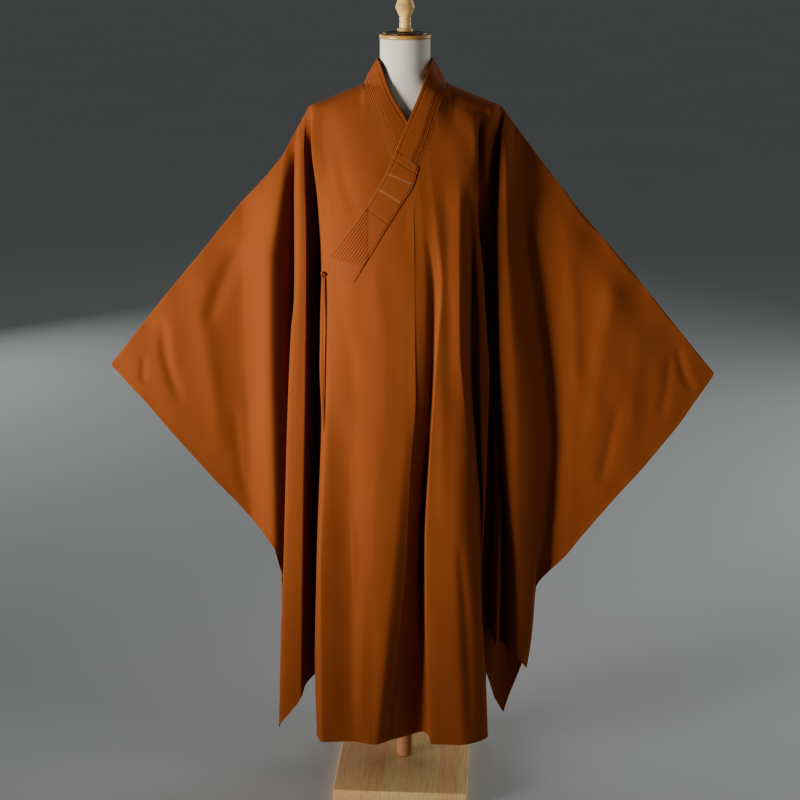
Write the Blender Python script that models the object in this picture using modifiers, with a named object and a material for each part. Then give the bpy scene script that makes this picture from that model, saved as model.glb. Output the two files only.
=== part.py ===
"""Buddhist monk robe (haiqing) hanging on a limbless dress form with a wooden stand.

Units are metres, +Z is up and the robe's front faces -Y.  The origin is the middle of the base's
underside.  The robe is cut as five body lengths, two wide sleeves, a layered collar band and a tie.
Each cloth piece is a thin wall through horizontal sections: a row of a fold table is one fold line,
and a section is the smooth curve through the fold lines at its height.
"Left" and "right" are the wearer's: the left front wraps over the right front.
"""
import math

import bmesh
import bpy
import numpy as np

# ---------------------------------------------------------------- driving dimensions
CLOTH = 0.0018              # wall of every cloth piece
SLEEVE_GAP = 0.0027         # from the armhole and side lines to the sleeve's inner line
SEAM = 0.0006               # gap between the edges of two pieces that are sewn together
HEM_Z = 0.131               # height of the skirt hem
SECTION_POWER = 2.5         # squareness of the body's plan section
UNDER_LAYER = 0.0066        # how far the right front lies behind the left front
UNDER_FADE = 0.025          # stretch beside the shoulder and side over which it comes back out
SHORTEST_COLUMN = 0.004     # least length of a sleeve's mesh column
BAND_RISE = 0.0026          # a collar band over the cloth that it lies on
STRIP_WIDTH = 0.0085        # each stepped layer beside the collar band
QUILT_ROWS = 12             # stitched ribs along the collar's lower front
QUILT_RISE = 0.0007         # height of a rib
COLUMNS_PER_FOLD = 2        # mesh columns from one fold line to the next
CORNER_COLUMNS = (0.1, 0.25, 0.75)      # more columns beside the neck corner, in fold lines
ROLL_ROWS = (0.0, 0.005, 0.013, 0.027, 0.050, 0.085)    # drops of the first mesh rows below a top edge
# How far cloth stands out from the middle plane at each drop below the fold that it turns over
SHOULDER_ROLL = ((0.0, 0.0), (0.005, 0.026), (0.013, 0.040), (0.027, 0.060), (0.050, 0.120))
SLEEVE_ROLL = ((0.0, 0.0), (0.005, 0.007), (0.013, 0.014), (0.027, 0.026), (0.050, 0.050), (0.085, 0.100))
ROWS = 18                   # mesh rows down a body length
SLEEVE_ROWS = 13            # mesh rows down a sleeve
EDGE_FROM_MIDDLE = 0.0007   # front and back pieces stop this far from the middle plane y = 0
FOLD_FROM_MIDDLE = 0.0012   # and this far at the shoulders and the sleeves' top folds, where they slope
TOP_PASSES = 6              # repeats that settle where a slanting column meets its top edge

BASE_SIZE = (0.287, 0.330, 0.035)
BASE_TURN = math.radians(-3.9)
POLE_RADIUS = 0.017
TORSO_BOTTOM = 0.800
FIT_GAP = 0.0003            # between pieces that sit face to face
RING_POINTS = 40

# Body sections: height, half width, depth to the front, depth to the back
BODY_SECTIONS = (
    # z     half   front  back
    (1.556, 0.0515, 0.0515, 0.0515),
    (1.530, 0.0640, 0.0560, 0.0580),
    (1.508, 0.0800, 0.0610, 0.0650),
    (1.482, 0.1430, 0.0670, 0.0750),
    (1.464, 0.1890, 0.0720, 0.0820),
    (1.440, 0.1935, 0.0800, 0.0900),
    (1.400, 0.1930, 0.0920, 0.1010),
    (1.350, 0.1890, 0.1060, 0.1110),
    (1.250, 0.1850, 0.1210, 0.1190),
    (1.150, 0.1840, 0.1270, 0.1170),
    (1.000, 0.1840, 0.1290, 0.1130),
    (0.800, 0.1870, 0.1300, 0.1160),
    (0.500, 0.1920, 0.1340, 0.1250),
    (0.130, 0.1960, 0.1380, 0.1350),
)

# Dress form sections: height, half width, depth to the front, depth to the back, squareness
FORM_SECTIONS = (
    # z      half   front   back    power
    (1.5935, 0.0480, 0.0480, 0.0480, 2.0),
    (1.5925, 0.0490, 0.0490, 0.0490, 2.0),
    (1.5400, 0.0490, 0.0485, 0.0490, 2.0),
    (1.5220, 0.0560, 0.0460, 0.0490, 1.5),
    (1.5061, 0.0800, 0.0440, 0.0490, 1.0),
    (1.4801, 0.1430, 0.0460, 0.0530, 1.0),
    (1.4670, 0.1760, 0.0530, 0.0600, 1.1),
    (1.4450, 0.1750, 0.0630, 0.0720, 1.9),
    (1.4000, 0.1700, 0.0760, 0.0860, 2.5),
    (1.3500, 0.1600, 0.0900, 0.0950, 2.5),
    (1.2500, 0.1500, 0.1030, 0.1000, 2.5),
    (1.1500, 0.1380, 0.1040, 0.0930, 2.4),
    (1.0500, 0.1320, 0.0970, 0.0880, 2.3),
    (0.9500, 0.1400, 0.0990, 0.0950, 2.3),
    (0.8500, 0.1480, 0.1000, 0.1000, 2.3),
    (0.8150, 0.1460, 0.0980, 0.0980, 2.3),
    (0.8030, 0.1380, 0.0900, 0.0900, 2.3),
    (0.8000, 0.1250, 0.0800, 0.0800, 2.3),
)

# Fold lines of the body.  Each row is one line from its top edge to the hem: its name, how its
# depth is given ("body": out of the body section, positive is inward; "own": the y itself), and
# its knots (height, x, depth).
OVERLAP_LINES = (
    ("overlap free edge", "own", ((1.146, -0.166, -0.060), (0.820, -0.173, -0.074), (0.500, -0.185, -0.086),
                                  (0.270, -0.191, -0.090), (0.131, -0.189, -0.092))),
    ("edge roll", "own", ((1.146, -0.154, -0.077), (0.820, -0.161, -0.094), (0.500, -0.172, -0.106),
                          (0.131, -0.172, -0.115))),
    ("side of the front", "body", ((1.134, -0.102, 0.0), (0.820, -0.110, 0.0), (0.131, -0.115, 0.0))),
    ("middle of the overlap", "body", ((1.219, -0.049, 0.0), (0.820, -0.055, 0.0), (0.131, -0.070, 0.0))),
    ("beside the centre seam", "body", ((1.286, -0.009, 0.0), (0.900, 0.000, 0.0), (0.500, -0.028, 0.0),
                                        (0.131, -0.055, 0.001))),
    ("centre front seam", "body", ((1.330, 0.0165, 0.0), (1.000, 0.020, 0.0), (0.900, 0.021, 0.0),
                                   (0.770, 0.012, 0.001), (0.510, 0.000, 0.005), (0.354, -0.014, 0.008),
                                   (0.131, -0.037, 0.009))),
)
LEFT_FRONT_LINES = (
    ("centre front seam", "body", ((1.330, 0.0172, 0.0), (1.000, 0.0208, 0.0), (0.900, 0.0219, 0.0),
                                   (0.770, 0.0131, 0.001), (0.510, 0.0013, 0.005), (0.354, -0.0126, 0.008),
                                   (0.131, -0.0355, 0.009))),
    ("deep valley", "body", ((1.367, 0.031, 0.0), (1.250, 0.035, 0.0), (1.080, 0.037, 0.003),
                             (0.900, 0.036, 0.022), (0.770, 0.030, 0.034), (0.500, 0.020, 0.050),
                             (0.131, 0.014, 0.064))),
    ("bulge inner edge", "body", ((1.395, 0.043, 0.0), (1.250, 0.048, 0.0), (1.070, 0.055, -0.001),
                                  (0.914, 0.056, -0.002), (0.800, 0.051, 0.000), (0.582, 0.041, 0.004),
                                  (0.465, 0.042, 0.006), (0.284, 0.047, 0.006), (0.131, 0.054, 0.005))),
    ("bulge front", "body", ((1.450, 0.060, 0.0), (1.300, 0.076, 0.0), (1.000, 0.086, -0.004),
                             (0.500, 0.102, -0.014), (0.131, 0.116, -0.016))),
    ("bulge ridge", "own", ((1.5070, 0.0822, 0.000), (1.503, 0.083, -0.024), (1.495, 0.086, -0.038),
                            (1.480, 0.090, -0.048), (1.400, 0.098, -0.082), (1.250, 0.104, -0.105),
                            (1.003, 0.106, -0.114), (0.833, 0.125, -0.110), (0.592, 0.147, -0.103),
                            (0.453, 0.159, -0.099), (0.220, 0.175, -0.094), (0.131, 0.179, -0.092))),
    ("second valley", "own", ((1.4936, 0.115, 0.000), (1.490, 0.115, -0.026), (1.480, 0.115, -0.046),
                              (1.400, 0.118, -0.076), (1.250, 0.121, -0.096), (1.120, 0.129, -0.078),
                              (1.000, 0.133, -0.060), (0.800, 0.148, -0.048), (0.500, 0.160, -0.050),
                              (0.131, 0.170, -0.050))),
    ("side strip ridge", "own", ((1.4833, 0.140, 0.000), (1.480, 0.140, -0.024), (1.470, 0.138, -0.045),
                                 (1.440, 0.134, -0.062), (1.397, 0.137, -0.068), (1.260, 0.140, -0.078),
                                 (1.140, 0.154, -0.068), (0.933, 0.171, -0.056), (0.770, 0.169, -0.048),
                                 (0.500, 0.162, -0.034), (0.131, 0.168, -0.030))),
    ("armhole valley", "own", ((1.4762, 0.158, 0.000), (1.473, 0.158, -0.022), (1.460, 0.156, -0.044),
                               (1.430, 0.152, -0.044), (1.350, 0.152, -0.040), (1.250, 0.150, -0.034),
                               (1.130, 0.158, -0.030), (0.800, 0.168, -0.020), (0.131, 0.170, -0.018))),
    ("armhole fold", "own", ((1.4703, 0.173, 0.000), (1.467, 0.173, -0.018), (1.455, 0.171, -0.038),
                             (1.400, 0.164, -0.046), (1.300, 0.163, -0.036), (1.200, 0.162, -0.020),
                             (0.800, 0.170, -0.010), (0.131, 0.172, -0.008))),
    ("armhole and side", "own", ((1.4650, 0.1865, -0.000), (1.450, 0.184, -0.016), (1.400, 0.179, -0.022),
                                 (1.250, 0.173, -0.020), (1.130, 0.172, 0.000), (1.000, 0.177, 0.000),
                                 (0.500, 0.182, 0.000), (0.131, 0.178, 0.000))),
)
RIGHT_FRONT_LINES = (
    ("armhole and side", "own", ((1.4650, -0.1865, -0.000), (1.450, -0.186, -0.016), (1.400, -0.183, -0.026),
                                 (1.250, -0.173, -0.022), (1.130, -0.172, 0.000), (1.000, -0.178, 0.000),
                                 (0.500, -0.189, 0.000), (0.131, -0.192, 0.000))),
    ("chest edge", "own", ((1.4695, -0.175, 0.000), (1.466, -0.176, -0.018), (1.455, -0.180, -0.032),
                           (1.400, -0.183, -0.044), (1.284, -0.171, -0.052), (1.172, -0.166, -0.050),
                           (0.800, -0.170, -0.050), (0.131, -0.186, -0.060))),
    ("chest roll", "under", ((1.4762, -0.158, 0.0), (1.400, -0.160, 0.0), (1.200, -0.150, 0.0),
                             (0.800, -0.152, 0.0), (0.131, -0.162, 0.0))),
    ("below the shoulder", "under", ((1.4890, -0.126, 0.0), (1.300, -0.124, 0.0), (0.800, -0.112, 0.0),
                                     (0.131, -0.116, 0.0))),
    ("neck side", "under", ((1.5070, -0.0822, 0.0), (1.300, -0.084, 0.0), (0.800, -0.078, 0.0),
                            (0.131, -0.084, 0.0))),
    ("collar foot", "under", ((1.4200, -0.044, 0.0), (1.200, -0.046, 0.0), (0.800, -0.044, 0.0),
                              (0.131, -0.062, 0.0))),
    ("under free edge", "under", ((1.3300, 0.000, 0.0), (1.000, -0.004, 0.0), (0.800, -0.012, 0.0),
                                  (0.500, -0.030, 0.0), (0.131, -0.052, 0.001))),
)
BACK_LEFT_LINES = (
    ("centre back seam", "back", ((1.497, 0.0009, 0.0), (1.300, 0.0009, 0.0), (0.800, 0.0009, 0.004),
                                  (0.131, 0.0009, 0.010))),
    ("fold beside the seam", "back", ((1.498, 0.028, 0.0), (1.200, 0.030, 0.0), (0.800, 0.034, -0.010),
                                      (0.131, 0.046, -0.016))),
    ("first back valley", "back", ((1.500, 0.050, 0.0), (1.200, 0.054, 0.002), (0.800, 0.062, 0.018),
                                   (0.131, 0.074, 0.040))),
    ("blade fold", "back", ((1.507, 0.0822, 0.0), (1.300, 0.086, -0.002), (0.800, 0.098, -0.010),
                            (0.131, 0.112, -0.006))),
    ("second back valley", "back", ((1.4890, 0.126, 0.0), (1.300, 0.116, 0.004), (0.800, 0.126, 0.020),
                                    (0.131, 0.138, 0.034))),
    ("side back fold", "back", ((1.4762, 0.158, 0.0), (1.400, 0.158, 0.0), (1.100, 0.154, 0.000),
                                (0.800, 0.160, -0.004), (0.131, 0.168, -0.004))),
    ("armhole and side", "own", ((1.4650, 0.1865, 0.000), (1.450, 0.185, 0.018), (1.400, 0.180, 0.030),
                                 (1.250, 0.173, 0.028), (1.130, 0.172, 0.000), (1.000, 0.177, 0.000),
                                 (0.500, 0.182, 0.000), (0.131, 0.178, 0.000))),
)
BACK_RIGHT_LINES = (
    ("armhole and side", "own", ((1.4650, -0.1865, 0.000), (1.450, -0.186, 0.018), (1.400, -0.182, 0.030),
                                 (1.250, -0.173, 0.028), (1.130, -0.172, 0.000), (1.000, -0.178, 0.000),
                                 (0.500, -0.189, 0.000), (0.131, -0.192, 0.000))),
    ("side back fold", "back", ((1.4762, -0.158, 0.0), (1.400, -0.158, 0.0), (1.100, -0.150, -0.002),
                                (0.800, -0.150, -0.010), (0.131, -0.160, -0.014))),
    ("second back valley", "back", ((1.4890, -0.126, 0.0), (1.300, -0.120, 0.002), (0.800, -0.122, 0.022),
                                    (0.131, -0.128, 0.044))),
    ("blade fold", "back", ((1.507, -0.0822, 0.0), (1.300, -0.090, -0.003), (0.800, -0.092, -0.012),
                            (0.131, -0.094, -0.012))),
    ("first back valley", "back", ((1.500, -0.050, 0.0), (1.200, -0.058, 0.003), (0.800, -0.060, 0.016),
                                   (0.131, -0.058, 0.030))),
    ("fold beside the seam", "back", ((1.498, -0.028, 0.0), (1.200, -0.030, 0.0), (0.800, -0.030, -0.004),
                                      (0.131, -0.026, -0.008))),
    ("centre back seam", "back", ((1.497, -0.0009, 0.0), (1.300, -0.0009, 0.0), (0.800, -0.0009, 0.004),
                                  (0.131, -0.0009, 0.010))),
)


def beside(line):
    """A fold line's knots moved away from the body's middle: where a sleeve lies along the body."""
    return tuple((z, x + math.copysign(SLEEVE_GAP, x), y) for z, x, y in line[2])


# Sleeve outlines in the front view: (x, z) along the top fold and along the cuff
RIGHT_SLEEVE_TOP = ((-0.1880, 1.4640), (-0.209, 1.427), (-0.243, 1.366), (-0.277, 1.326), (-0.328, 1.273),
                    (-0.415, 1.168), (-0.497, 1.072), (-0.604, 0.939))
LEFT_SLEEVE_TOP = ((0.1880, 1.4640), (0.280, 1.344), (0.353, 1.253), (0.461, 1.131), (0.562, 1.009),
                   (0.638, 0.918))

# Fold lines of the sleeves, from the armhole to the cuff's upper corner: name, height where the line
# ends, and knots (height, x, y).  Every line starts on the top fold.
RIGHT_SLEEVE_FRONT = (
    ("armhole and underarm", 0.240, beside(RIGHT_FRONT_LINES[0])),
    ("pleat inner side", 0.214, ((1.458, -0.191, -0.001), (1.400, -0.198, -0.034), (1.250, -0.200, -0.046),
                                 (1.000, -0.206, -0.048), (0.600, -0.216, -0.044), (0.214, -0.222, -0.038))),
    ("pleat front", 0.168, ((1.445, -0.198, -0.001), (1.400, -0.206, -0.034), (1.250, -0.209, -0.058),
                            (1.000, -0.218, -0.066), (0.600, -0.238, -0.060), (0.168, -0.248, -0.050))),
    ("pleat outer edge", 0.121, ((1.434, -0.204, -0.001), (1.400, -0.2115, -0.026), (1.308, -0.216, -0.048),
                                 (1.198, -0.2175, -0.058), (1.086, -0.2215, -0.062), (1.025, -0.229, -0.062),
                                 (0.520, -0.256, -0.054), (0.309, -0.267, -0.048), (0.121, -0.2750, -0.040))),
    ("behind the pleat", 0.330, ((1.415, -0.214, -0.001), (1.308, -0.222, -0.014), (1.086, -0.226, -0.008),
                                 (0.800, -0.229, -0.006), (0.520, -0.237, -0.005), (0.330, -0.243, -0.006))),
    ("panel ridge", 0.548, ((1.385, -0.231, -0.001), (1.321, -0.243, -0.030), (1.237, -0.257, -0.044),
                            (1.166, -0.268, -0.050), (0.900, -0.273, -0.054), (0.548, -0.274, -0.052))),
    ("panel inner", 0.615, ((1.271, -0.330, -0.001), (1.150, -0.330, -0.020), (0.900, -0.330, -0.032),
                            (0.615, -0.330, -0.034))),
    ("panel middle", 0.697, ((1.187, -0.400, -0.001), (1.050, -0.400, -0.020), (0.697, -0.400, -0.028))),
    ("panel outer", 0.783, ((1.104, -0.470, -0.001), (1.000, -0.470, -0.014), (0.783, -0.470, -0.020))),
    ("cuff fold", 0.868, ((1.018, -0.540, -0.001), (0.950, -0.540, -0.009), (0.868, -0.540, -0.012))),
    ("cuff corner", 0.934, ((0.939, -0.604, -0.001), (0.934, -0.604, -0.002))),
)
RIGHT_SLEEVE_BACK = (
    ("armhole and underarm", 0.240, beside(BACK_RIGHT_LINES[0])),
    ("back pleat", 0.176, ((1.450, -0.195, 0.001), (1.350, -0.200, 0.036), (1.100, -0.204, 0.046),
                           (0.600, -0.213, 0.047), (0.176, -0.230, 0.036))),
    ("back pleat edge", 0.110, ((1.430, -0.207, 0.001), (1.350, -0.220, 0.036), (1.000, -0.240, 0.050),
                                (0.500, -0.262, 0.048), (0.110, -0.2770, 0.030))),
    ("back valley", 0.480, ((1.385, -0.231, 0.001), (1.250, -0.250, 0.028), (0.900, -0.262, 0.038),
                            (0.480, -0.268, 0.034))),
    ("back panel inner", 0.580, ((1.300, -0.302, 0.001), (1.150, -0.304, 0.028), (0.850, -0.306, 0.042),
                                 (0.580, -0.306, 0.042))),
    ("back panel middle", 0.697, ((1.187, -0.400, 0.001), (1.050, -0.400, 0.025), (0.697, -0.400, 0.036))),
    ("back panel outer", 0.783, ((1.104, -0.470, 0.001), (1.000, -0.470, 0.022), (0.783, -0.470, 0.032))),
    ("back cuff fold", 0.868, ((1.018, -0.540, 0.001), (0.950, -0.540, 0.012), (0.868, -0.540, 0.018))),
    ("cuff corner", 0.934, ((0.939, -0.604, 0.001), (0.934, -0.604, 0.002))),
)
LEFT_SLEEVE_FRONT = (
    ("armhole and underarm", 0.350, beside(LEFT_FRONT_LINES[-1])),
    ("strip fold", 0.312, ((1.459, 0.192, -0.001), (1.400, 0.188, -0.034), (1.250, 0.187, -0.040),
                           (0.900, 0.192, -0.036), (0.600, 0.198, -0.038), (0.312, 0.197, -0.036))),
    ("strip valley", 0.330, ((1.452, 0.197, -0.001), (1.400, 0.191, -0.030), (1.250, 0.190, -0.034),
                             (0.900, 0.203, -0.018), (0.600, 0.212, -0.008), (0.330, 0.213, -0.006))),
    ("pleat ridge", 0.330, ((1.444, 0.203, -0.001), (1.400, 0.196, -0.034), (1.255, 0.195, -0.052),
                            (1.027, 0.210, -0.060), (0.877, 0.222, -0.060), (0.658, 0.230, -0.058),
                            (0.522, 0.241, -0.054), (0.330, 0.245, -0.050))),
    ("pleat outer edge", 0.262, ((1.422, 0.220, -0.001), (1.350, 0.216, -0.030), (1.213, 0.222, -0.040),
                                 (1.035, 0.246, -0.040), (0.857, 0.262, -0.038), (0.658, 0.268, -0.036),
                                 (0.409, 0.2690, -0.034), (0.262, 0.2640, -0.030))),
    ("outer valley", 0.440, ((1.392, 0.243, -0.001), (1.300, 0.242, -0.018), (1.213, 0.248, -0.020),
                             (1.035, 0.280, -0.018), (0.857, 0.302, -0.016), (0.754, 0.310, -0.014),
                             (0.567, 0.303, -0.012), (0.440, 0.284, -0.012))),
    ("panel inner", 0.540, ((1.302, 0.314, -0.001), (1.200, 0.320, -0.022), (0.900, 0.352, -0.032),
                            (0.540, 0.358, -0.034))),
    ("panel middle", 0.634, ((1.200, 0.400, -0.001), (1.050, 0.412, -0.020), (0.634, 0.428, -0.030))),
    ("panel outer", 0.720, ((1.096, 0.490, -0.001), (0.980, 0.496, -0.014), (0.720, 0.500, -0.022))),
    ("cuff fold", 0.812, ((1.002, 0.568, -0.001), (0.920, 0.570, -0.009), (0.812, 0.571, -0.014))),
    ("cuff corner", 0.913, ((0.918, 0.638, -0.001), (0.913, 0.638, -0.002))),
)
LEFT_SLEEVE_BACK = (
    ("armhole and underarm", 0.240, beside(BACK_LEFT_LINES[-1])),
    ("back pleat", 0.160, ((1.455, 0.195, 0.001), (1.350, 0.194, 0.038), (1.100, 0.198, 0.046),
                           (0.600, 0.206, 0.044), (0.160, 0.200, 0.024))),
    ("cuff tip", 0.123, ((1.440, 0.206, 0.001), (1.350, 0.206, 0.042), (1.000, 0.216, 0.056),
                         (0.500, 0.224, 0.050), (0.123, 0.2210, 0.026))),
    ("back pleat edge", 0.262, ((1.415, 0.225, 0.001), (1.300, 0.232, 0.034), (1.000, 0.252, 0.048),
                                (0.500, 0.264, 0.044), (0.262, 0.2640, 0.024))),
    ("back valley", 0.445, ((1.380, 0.252, 0.001), (1.250, 0.258, 0.018), (0.900, 0.282, 0.024),
                            (0.445, 0.286, 0.020))),
    ("back panel inner", 0.540, ((1.302, 0.314, 0.001), (1.200, 0.320, 0.024), (0.900, 0.352, 0.038),
                                 (0.540, 0.358, 0.038))),
    ("back panel middle", 0.634, ((1.200, 0.400, 0.001), (1.050, 0.412, 0.022), (0.634, 0.428, 0.032))),
    ("back panel outer", 0.720, ((1.096, 0.490, 0.001), (0.980, 0.496, 0.016), (0.720, 0.500, 0.024))),
    ("back cuff fold", 0.812, ((1.002, 0.568, 0.001), (0.920, 0.570, 0.010), (0.812, 0.571, 0.015))),
    ("cuff corner", 0.913, ((0.918, 0.638, 0.001), (0.913, 0.638, 0.002))),
)

# Collar band stations: name, free neck edge (x, z), sewn outer edge (x, z)
OVER_COLLAR = (
    ("neck side", (0.0510, 1.5540), (0.0800, 1.5080)),
    ("collar bone", (0.0300, 1.5000), (0.0630, 1.4620)),
    ("crossing", (0.0050, 1.4430), (0.0465, 1.4050)),
    ("strips end", (-0.0170, 1.3930), (0.0265, 1.3590)),
    ("first cross row", (-0.0380, 1.3470), (0.0160, 1.3250)),
    ("quilting starts", (-0.0560, 1.3160), (-0.0080, 1.2870)),
    ("chest", (-0.0870, 1.2660), (-0.0410, 1.2350)),
    ("lower chest", (-0.1200, 1.2210), (-0.0660, 1.1920)),
    ("quilting ends", (-0.1500, 1.1790), (-0.0815, 1.1680)),
    ("overlap corner", (-0.1640, 1.1480), (-0.1000, 1.1350)),
)
UNDER_COLLAR = (
    ("neck side", (-0.0510, 1.5540), (-0.0800, 1.5080)),
    ("collar bone", (-0.0290, 1.4990), (-0.0620, 1.4620)),
    ("crossing", (0.0030, 1.4470), (-0.0370, 1.4020)),
    ("under the left front", (0.0260, 1.4050), (-0.0180, 1.3560)),
    ("under end", (0.0460, 1.3660), (-0.0010, 1.3250)),
)
NAPE_STATIONS = 6               # band sections from the centre back to the neck's side
NAPE_SWEEP = math.radians(106)  # how far round the neck edge the back part runs
NAPE_NECK_RADIUS = 0.0518       # neck edge of the band
NAPE_SEAM = 0.0004              # half the gap of the band's centre back seam
WHOLE_WIDTH = 1.0               # more than any band's width: the band reaches its neck edge
STRIPS_END = 3                  # row of OVER_COLLAR where the stepped layers end
QUILT_FROM = 5                  # rows of OVER_COLLAR between which the band is quilted
QUILT_TO = 8
STRIPS_BREAK = 0.02             # gap between the layers' end and the stitched band, in rows
CROSS_STEP = 0.06               # length of the step from the ribs down to a plain cross row, in rows
NAPE_STEP = 0.5                 # mesh columns along the bands, in rows: round the nape, down the front,
BAND_STEP = 0.25                # and along the stitched part
QUILT_STEP = 0.5
LAST_IN = 0.01                  # makes a range of places hold its last one
UNDER_STRIPS_END = 3            # row of UNDER_COLLAR where its layers end
NAPE_NECK_Z = 1.5545            # free edge of the band at the nape
NAPE_FOOT_Z = 1.4985            # sewn edge of the band at the nape
NAPE_FOOT_HALF = 0.0800         # half width of the back neck hole
NECK_CORNER = 0.0822            # where a panel's top edge leaves the collar for the shoulder
CORNER_TURN = 0.012             # stretch beside the neck corner over which the panel turns

# Finial and cap on the neck, turned: (radius, height)
CAP_PROFILE = ((0.0, 1.5938), (0.0415, 1.5938), (0.0433, 1.5952), (0.0433, 1.6036), (0.0418, 1.6055),
               (0.0, 1.6055))
FINIAL_PROFILE = ((0.0, 1.6058), (0.0142, 1.6058), (0.0150, 1.6085), (0.0148, 1.6115), (0.0118, 1.6135),
                  (0.0108, 1.6190), (0.0114, 1.6225), (0.0112, 1.6285), (0.0100, 1.6310), (0.0128, 1.6390),
                  (0.0180, 1.6500), (0.0189, 1.6545), (0.0176, 1.6600), (0.0120, 1.6750), (0.0085, 1.6880),
                  (0.0078, 1.6930), (0.0060, 1.6965), (0.0, 1.6980))
FINIAL_STEPS = 20

# Tie at the overlap corner: a knot, and a tail that hangs down the rolled edge of the overlap
TIE_WIDTH = 0.0090
TIE_TOP_Z = 1.1355
TIE_END_Z = 0.8200
TIE_PLACE = 0.40                # where the tail lies, in fold lines from the overlap's free edge
TIE_ASIDE = 0.10                # a little further along the section, to find the way across the tail
TIE_ROWS = 13
TIE_GAP = 0.0005                # between the tail and the cloth that it lies on
KNOT_SIZE = (0.0110, 0.0090, 0.0130)
KNOT_Z = 1.1425
KNOT_OUT = 0.0065               # knot's centre out from the middle of the cloth

ROBE_COLOUR = (0.40, 0.135, 0.030, 1.0)
TRIM_COLOUR = (0.38, 0.125, 0.028, 1.0)
LINEN_COLOUR = (0.80, 0.77, 0.70, 1.0)
WALNUT_COLOUR = (0.16, 0.075, 0.035, 1.0)
PINE_COLOUR = (0.62, 0.41, 0.22, 1.0)


# ---------------------------------------------------------------- scene helpers
for old in list(bpy.data.objects):
    bpy.data.objects.remove(old, do_unlink=True)
robe = bpy.data.collections.new("monk_robe_on_dress_form")
bpy.context.scene.collection.children.link(robe)


def material(name, colour, roughness):
    made = bpy.data.materials.new(name)
    made.use_nodes = True
    shader = made.node_tree.nodes["Principled BSDF"]
    shader.inputs["Base Color"].default_value = colour
    shader.inputs["Roughness"].default_value = roughness
    made.diffuse_color = colour
    return made


ROBE_CLOTH = material("rust_twill", ROBE_COLOUR, 0.75)
TRIM_CLOTH = material("rust_twill_band", TRIM_COLOUR, 0.75)
LINEN = material("linen", LINEN_COLOUR, 0.85)
WALNUT = material("walnut", WALNUT_COLOUR, 0.45)
PINE = material("pine", PINE_COLOUR, 0.55)


def add_mesh(name, points, faces, surface_material):
    mesh = bpy.data.meshes.new(name)
    mesh.from_pydata([tuple(point) for point in points], [], faces)
    mesh.materials.append(surface_material)
    mesh.shade_smooth()
    made = bpy.data.objects.new(name, mesh)
    robe.objects.link(made)
    return made


# ---------------------------------------------------------------- curve and section functions
def smooth_through(knots, values, at):
    """Cubic through the values with no overshoot: its slope is zero at each local high or low."""
    knots = np.asarray(knots, float)
    values = np.asarray(values, float)
    at = np.clip(np.asarray(at, float), knots[0], knots[-1])
    step = np.diff(knots)
    chord = (np.diff(values, axis=0).T / step).T
    slope = np.zeros_like(values)
    slope[0], slope[-1] = chord[0], chord[-1]
    before, after = chord[:-1], chord[1:]
    total = np.abs(before) + np.abs(after) + 1e-12
    slope[1:-1] = np.where(before * after > 0, 2 * before * after * np.sign(after) / total, 0.0)
    span = np.clip(np.searchsorted(knots, at, side="right") - 1, 0, len(step) - 1)
    width = step[span]
    u = (at - knots[span]) / width
    extra = (1,) * (values.ndim - 1)
    u, width = u.reshape(u.shape + extra), width.reshape(width.shape + extra)
    return ((1 + 2 * u) * (1 - u) ** 2 * values[span] + u * (1 - u) ** 2 * width * slope[span]
            + u * u * (3 - 2 * u) * values[span + 1] - u * u * (1 - u) * width * slope[span + 1])


def body_section(z, column):
    rows = np.array(BODY_SECTIONS[::-1])
    return np.interp(z, rows[:, 0], rows[:, column])


def body_depth(x, z, column):
    """How far the body section reaches from the middle plane at x: a superellipse."""
    ratio = np.clip(np.abs(x) / body_section(z, 1), 0.0, 1.0)
    return body_section(z, column) * np.sqrt(1.0 - ratio ** SECTION_POWER)


def front_y(x, z, inward=0.0):
    return -body_depth(x, z, 2) + inward


def under_y(x, z, inward=0.0):
    """The right front: behind the left front, but out at the body section along the shoulder."""
    edge = np.clip((body_section(z, 1) - np.abs(x)) / UNDER_FADE, 0.0, 1.0)
    return -body_depth(x, z, 2) + UNDER_LAYER * edge + inward


def back_y(x, z, inward=0.0):
    return body_depth(x, z, 3) - inward


FRONT, BACK = -1, 1             # the side of the middle plane that a piece keeps to
DEPTH_RULES = {"body": front_y, "under": under_y, "back": back_y}


def line_at(line, z):
    """A fold line's x and y at heights z."""
    rule, knots = line[1], np.array(line[2])[::-1]
    x, depth = smooth_through(knots[:, 0], knots[:, 1:], z).T
    return x, depth if rule == "own" else DEPTH_RULES[rule](x, z, depth)


def section_points(lines, place, z, side):
    """Points at heights z on the section's curve, at a place counted in fold lines.

    The side is -1 for a front piece and 1 for a back piece: each keeps to its side of y = 0.
    """
    stations = np.array([line_at(line, z) for line in lines])
    x, y = smooth_through(np.arange(len(lines)), stations, np.array([place]))[0]
    return np.column_stack([x, side * np.maximum(side * y, EDGE_FROM_MIDDLE), z])


# ---------------------------------------------------------------- cloth walls
def grid_faces(columns, rows):
    return [(c * rows + r, (c + 1) * rows + r, (c + 1) * rows + r + 1, c * rows + r + 1)
            for c in range(columns - 1) for r in range(rows - 1)]


def cloth_wall(name, columns, surface_material):
    """A grid of points given column by column, made a wall of cloth by Solidify."""
    grid = np.array(columns)
    faces = grid_faces(grid.shape[0], grid.shape[1])
    made = add_mesh(name, grid.reshape(-1, 3), faces, surface_material)
    wall = made.modifiers.new("cloth thickness", "SOLIDIFY")
    wall.thickness = CLOTH
    wall.offset = 0.0
    return made


def row_heights(top, bottom, rows):
    """Heights down a column: the first rows are close together, where the cloth turns over."""
    roll = np.minimum(ROLL_ROWS, np.linspace(0.0, top - bottom, rows)[:len(ROLL_ROWS)])
    rest = np.linspace(roll[-1], top - bottom, rows - len(roll) + 1)[1:]
    return top - np.concatenate([roll, rest])


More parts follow.
